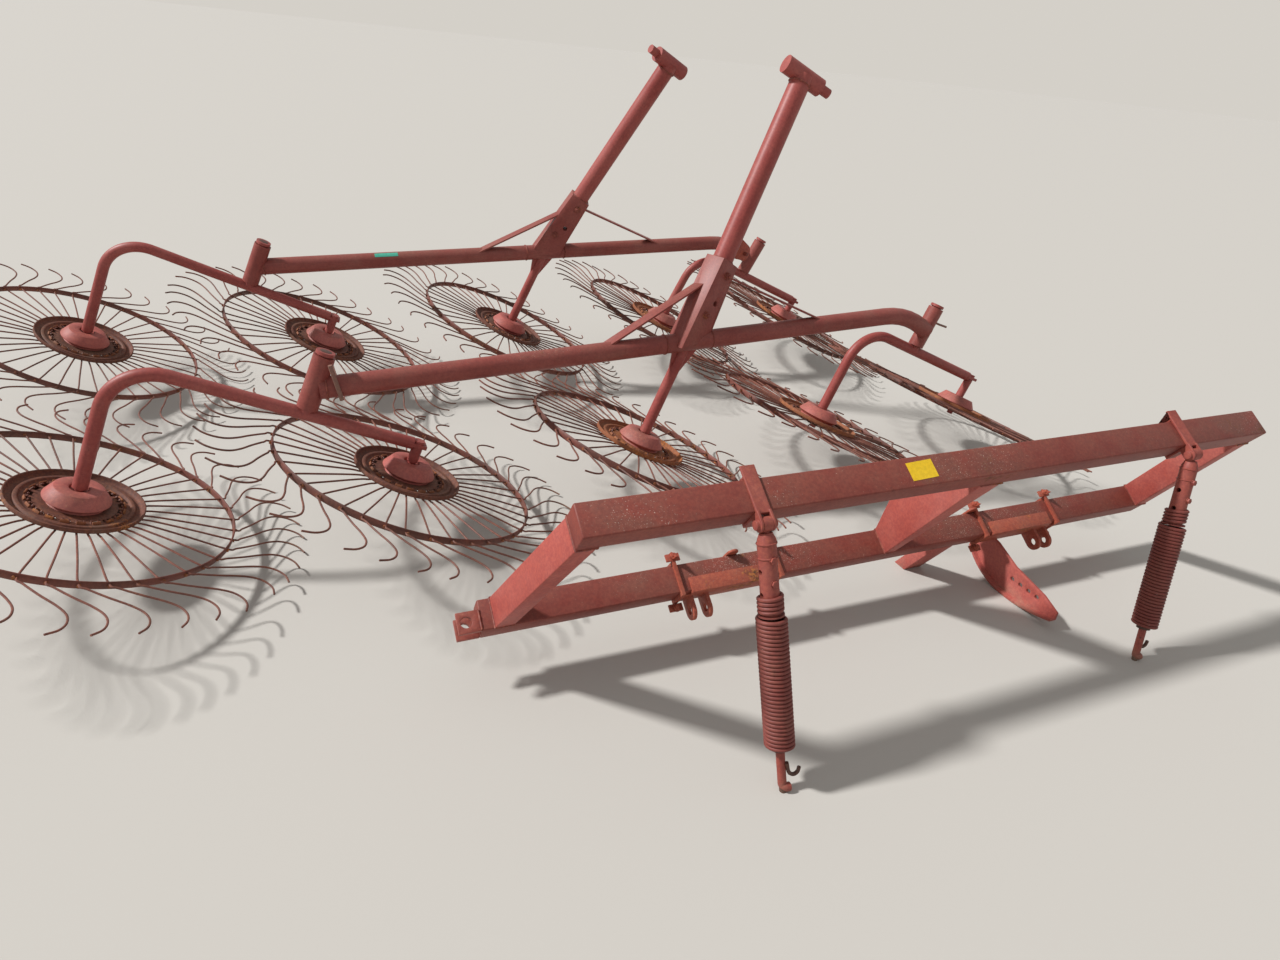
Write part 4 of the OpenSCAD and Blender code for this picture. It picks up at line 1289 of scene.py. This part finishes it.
@dataclass
class Studio:
    """Floor, light and camera. Floor and far background share one tone, so that no horizon shows."""

    eye: Vector = field(default_factory=lambda: Vector((-1.35, -3.225, 1.824)) - ROW_MIDDLE)
    right: tuple[float, float, float] = (0.9016, -0.4223, 0.0940)
    up: tuple[float, float, float] = (0.1271, 0.4664, 0.8754)
    focal_px: float = 797.0
    image_w_px: float = 1280.0
    sensor_mm: float = 36.0
    floor_half: float = 400.0
    floor_tone: tuple[float, ...] = (0.50, 0.475, 0.435, 1.0)
    far_tone: tuple[float, ...] = (0.66, 0.63, 0.58, 1.0)
    sun_way: tuple[float, float, float] = (0.947, -0.449, -1.0)
    sun_power: float = 4.0
    sun_width_deg: float = 5.0
    sky_power: float = 0.45

    def build(self) -> None:
        """Set the floor, the lamps, the world and the camera."""
        self.floor()
        self.light()
        self.camera()

    def floor(self) -> None:
        """Lay a pale floor."""
        data = bpy.data.meshes.new("floor")
        edge = self.floor_half
        data.from_pydata([(-edge, -edge, 0), (edge, -edge, 0), (edge, edge, 0), (-edge, edge, 0)], [],
                         [(0, 1, 2, 3)])
        floor = linked("floor", data)
        material = bpy.data.materials.new("floor")
        material.use_nodes = True
        surface = material.node_tree.nodes["Principled BSDF"]
        surface.inputs["Base Color"].default_value = self.floor_tone
        surface.inputs["Roughness"].default_value = 0.95
        data.materials.append(material)
        floor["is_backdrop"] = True

    def light(self) -> None:
        """Set a soft sun from behind on the left and an even sky."""
        lamp = bpy.data.lights.new("sun", "SUN")
        lamp.energy = self.sun_power
        lamp.angle = math.radians(self.sun_width_deg)
        sun = linked("sun", lamp)
        sun.rotation_mode = "QUATERNION"
        sun.rotation_quaternion = Vector((0, 0, -1)).rotation_difference(Vector(self.sun_way).normalized())
        world = bpy.data.worlds.new("sky")
        world.use_nodes = True
        g = GraphMaker(world.node_tree)
        world.node_tree.nodes.clear()
        sky, seen = (g.add("ShaderNodeBackground", {"Color": tone, "Strength": power}).outputs["Background"]
                     for tone, power in ((WHITE, self.sky_power), (self.far_tone, 1.0)))
        to_camera = g.add("ShaderNodeLightPath").outputs["Is Camera Ray"]
        pick = g.add("ShaderNodeMixShader", {"Fac": to_camera, 1: sky, 2: seen})
        g.add("ShaderNodeOutputWorld", {"Surface": pick.outputs["Shader"]})
        bpy.context.scene.world = world

    def camera(self) -> None:
        """Set the camera where the photograph was taken."""
        right, up = Vector(self.right).normalized(), Vector(self.up).normalized()
        back = right.cross(up)
        data = bpy.data.cameras.new("camera")
        data.sensor_width = self.sensor_mm
        data.lens = self.focal_px * self.sensor_mm / self.image_w_px
        data.clip_end = 1000.0
        camera = linked("camera", data)
        camera.matrix_world = Matrix.Translation(self.eye) @ Matrix((right, up, back)).transposed().to_4x4()
        bpy.context.scene.camera = camera


def dress_nodes(shop: Workshop) -> None:
    """Give every node of the model the finish of its slot.

    Args:
        shop: Frame and materials.
    """
    slots = {item["node"]: item["material_slot"] for item in shop.frame["record"]["subparts"]}
    own = {"left_spring_tube": STRUT_RED, "right_spring_tube": STRUT_RED}
    own |= {f"{gang}_{part}": TUBE_RED for gang in ("near", "far") for part in GANG_TUBES}
    for name, obj in shop.frame["nodes"].items():
        finish = own.get(name, SLOT_FINISH[slots[name]])
        obj.data.materials.clear()
        obj.data.materials.append(shop.paint.get(finish))
        obj.data.set_sharp_from_angle(angle=math.radians(35))


def corners() -> list[list[float]]:
    """Return the model's lowest and highest corner as plain numbers."""
    low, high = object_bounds()
    return [list(low), list(high)]


def main() -> None:
    """Build the whole scene."""
    logging.basicConfig(level=logging.INFO, format="%(name)s: %(message)s")
    bpy.context.scene.view_settings.view_transform = "Standard"
    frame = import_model()
    studio = Studio()
    studio.build()
    shop = Workshop(frame, PaintShop(Weather()), WireRing(), WoundWire())
    dress_nodes(shop)
    near = Gang("near", Stand((0.320, -0.377, 0.742), -1.0, 3.4, 0.0), sunlit=(3, 4, 5), bracket=True)
    far = Gang("far", Stand((0.200, 1.138, 0.759), 7.0, 2.6, -1.0, True), sunlit=(4, 5))
    for gang in (near, far):
        gang.build(shop)
    hitch = HitchFrame(
        Stand((-0.690, -1.721, 0.762), 34.1, 0.5, -2.0),
        (SpringStrut("left", (0.512, -0.034, -0.010), (-0.150, -2.037, 0.0)),
         SpringStrut("right", (2.272, -0.034, -0.010), (1.459, -2.003, 0.0))))
    hitch.build(shop)
    log.info("%d pieces", shop.pieces)


if __name__ == "__main__":
    main()
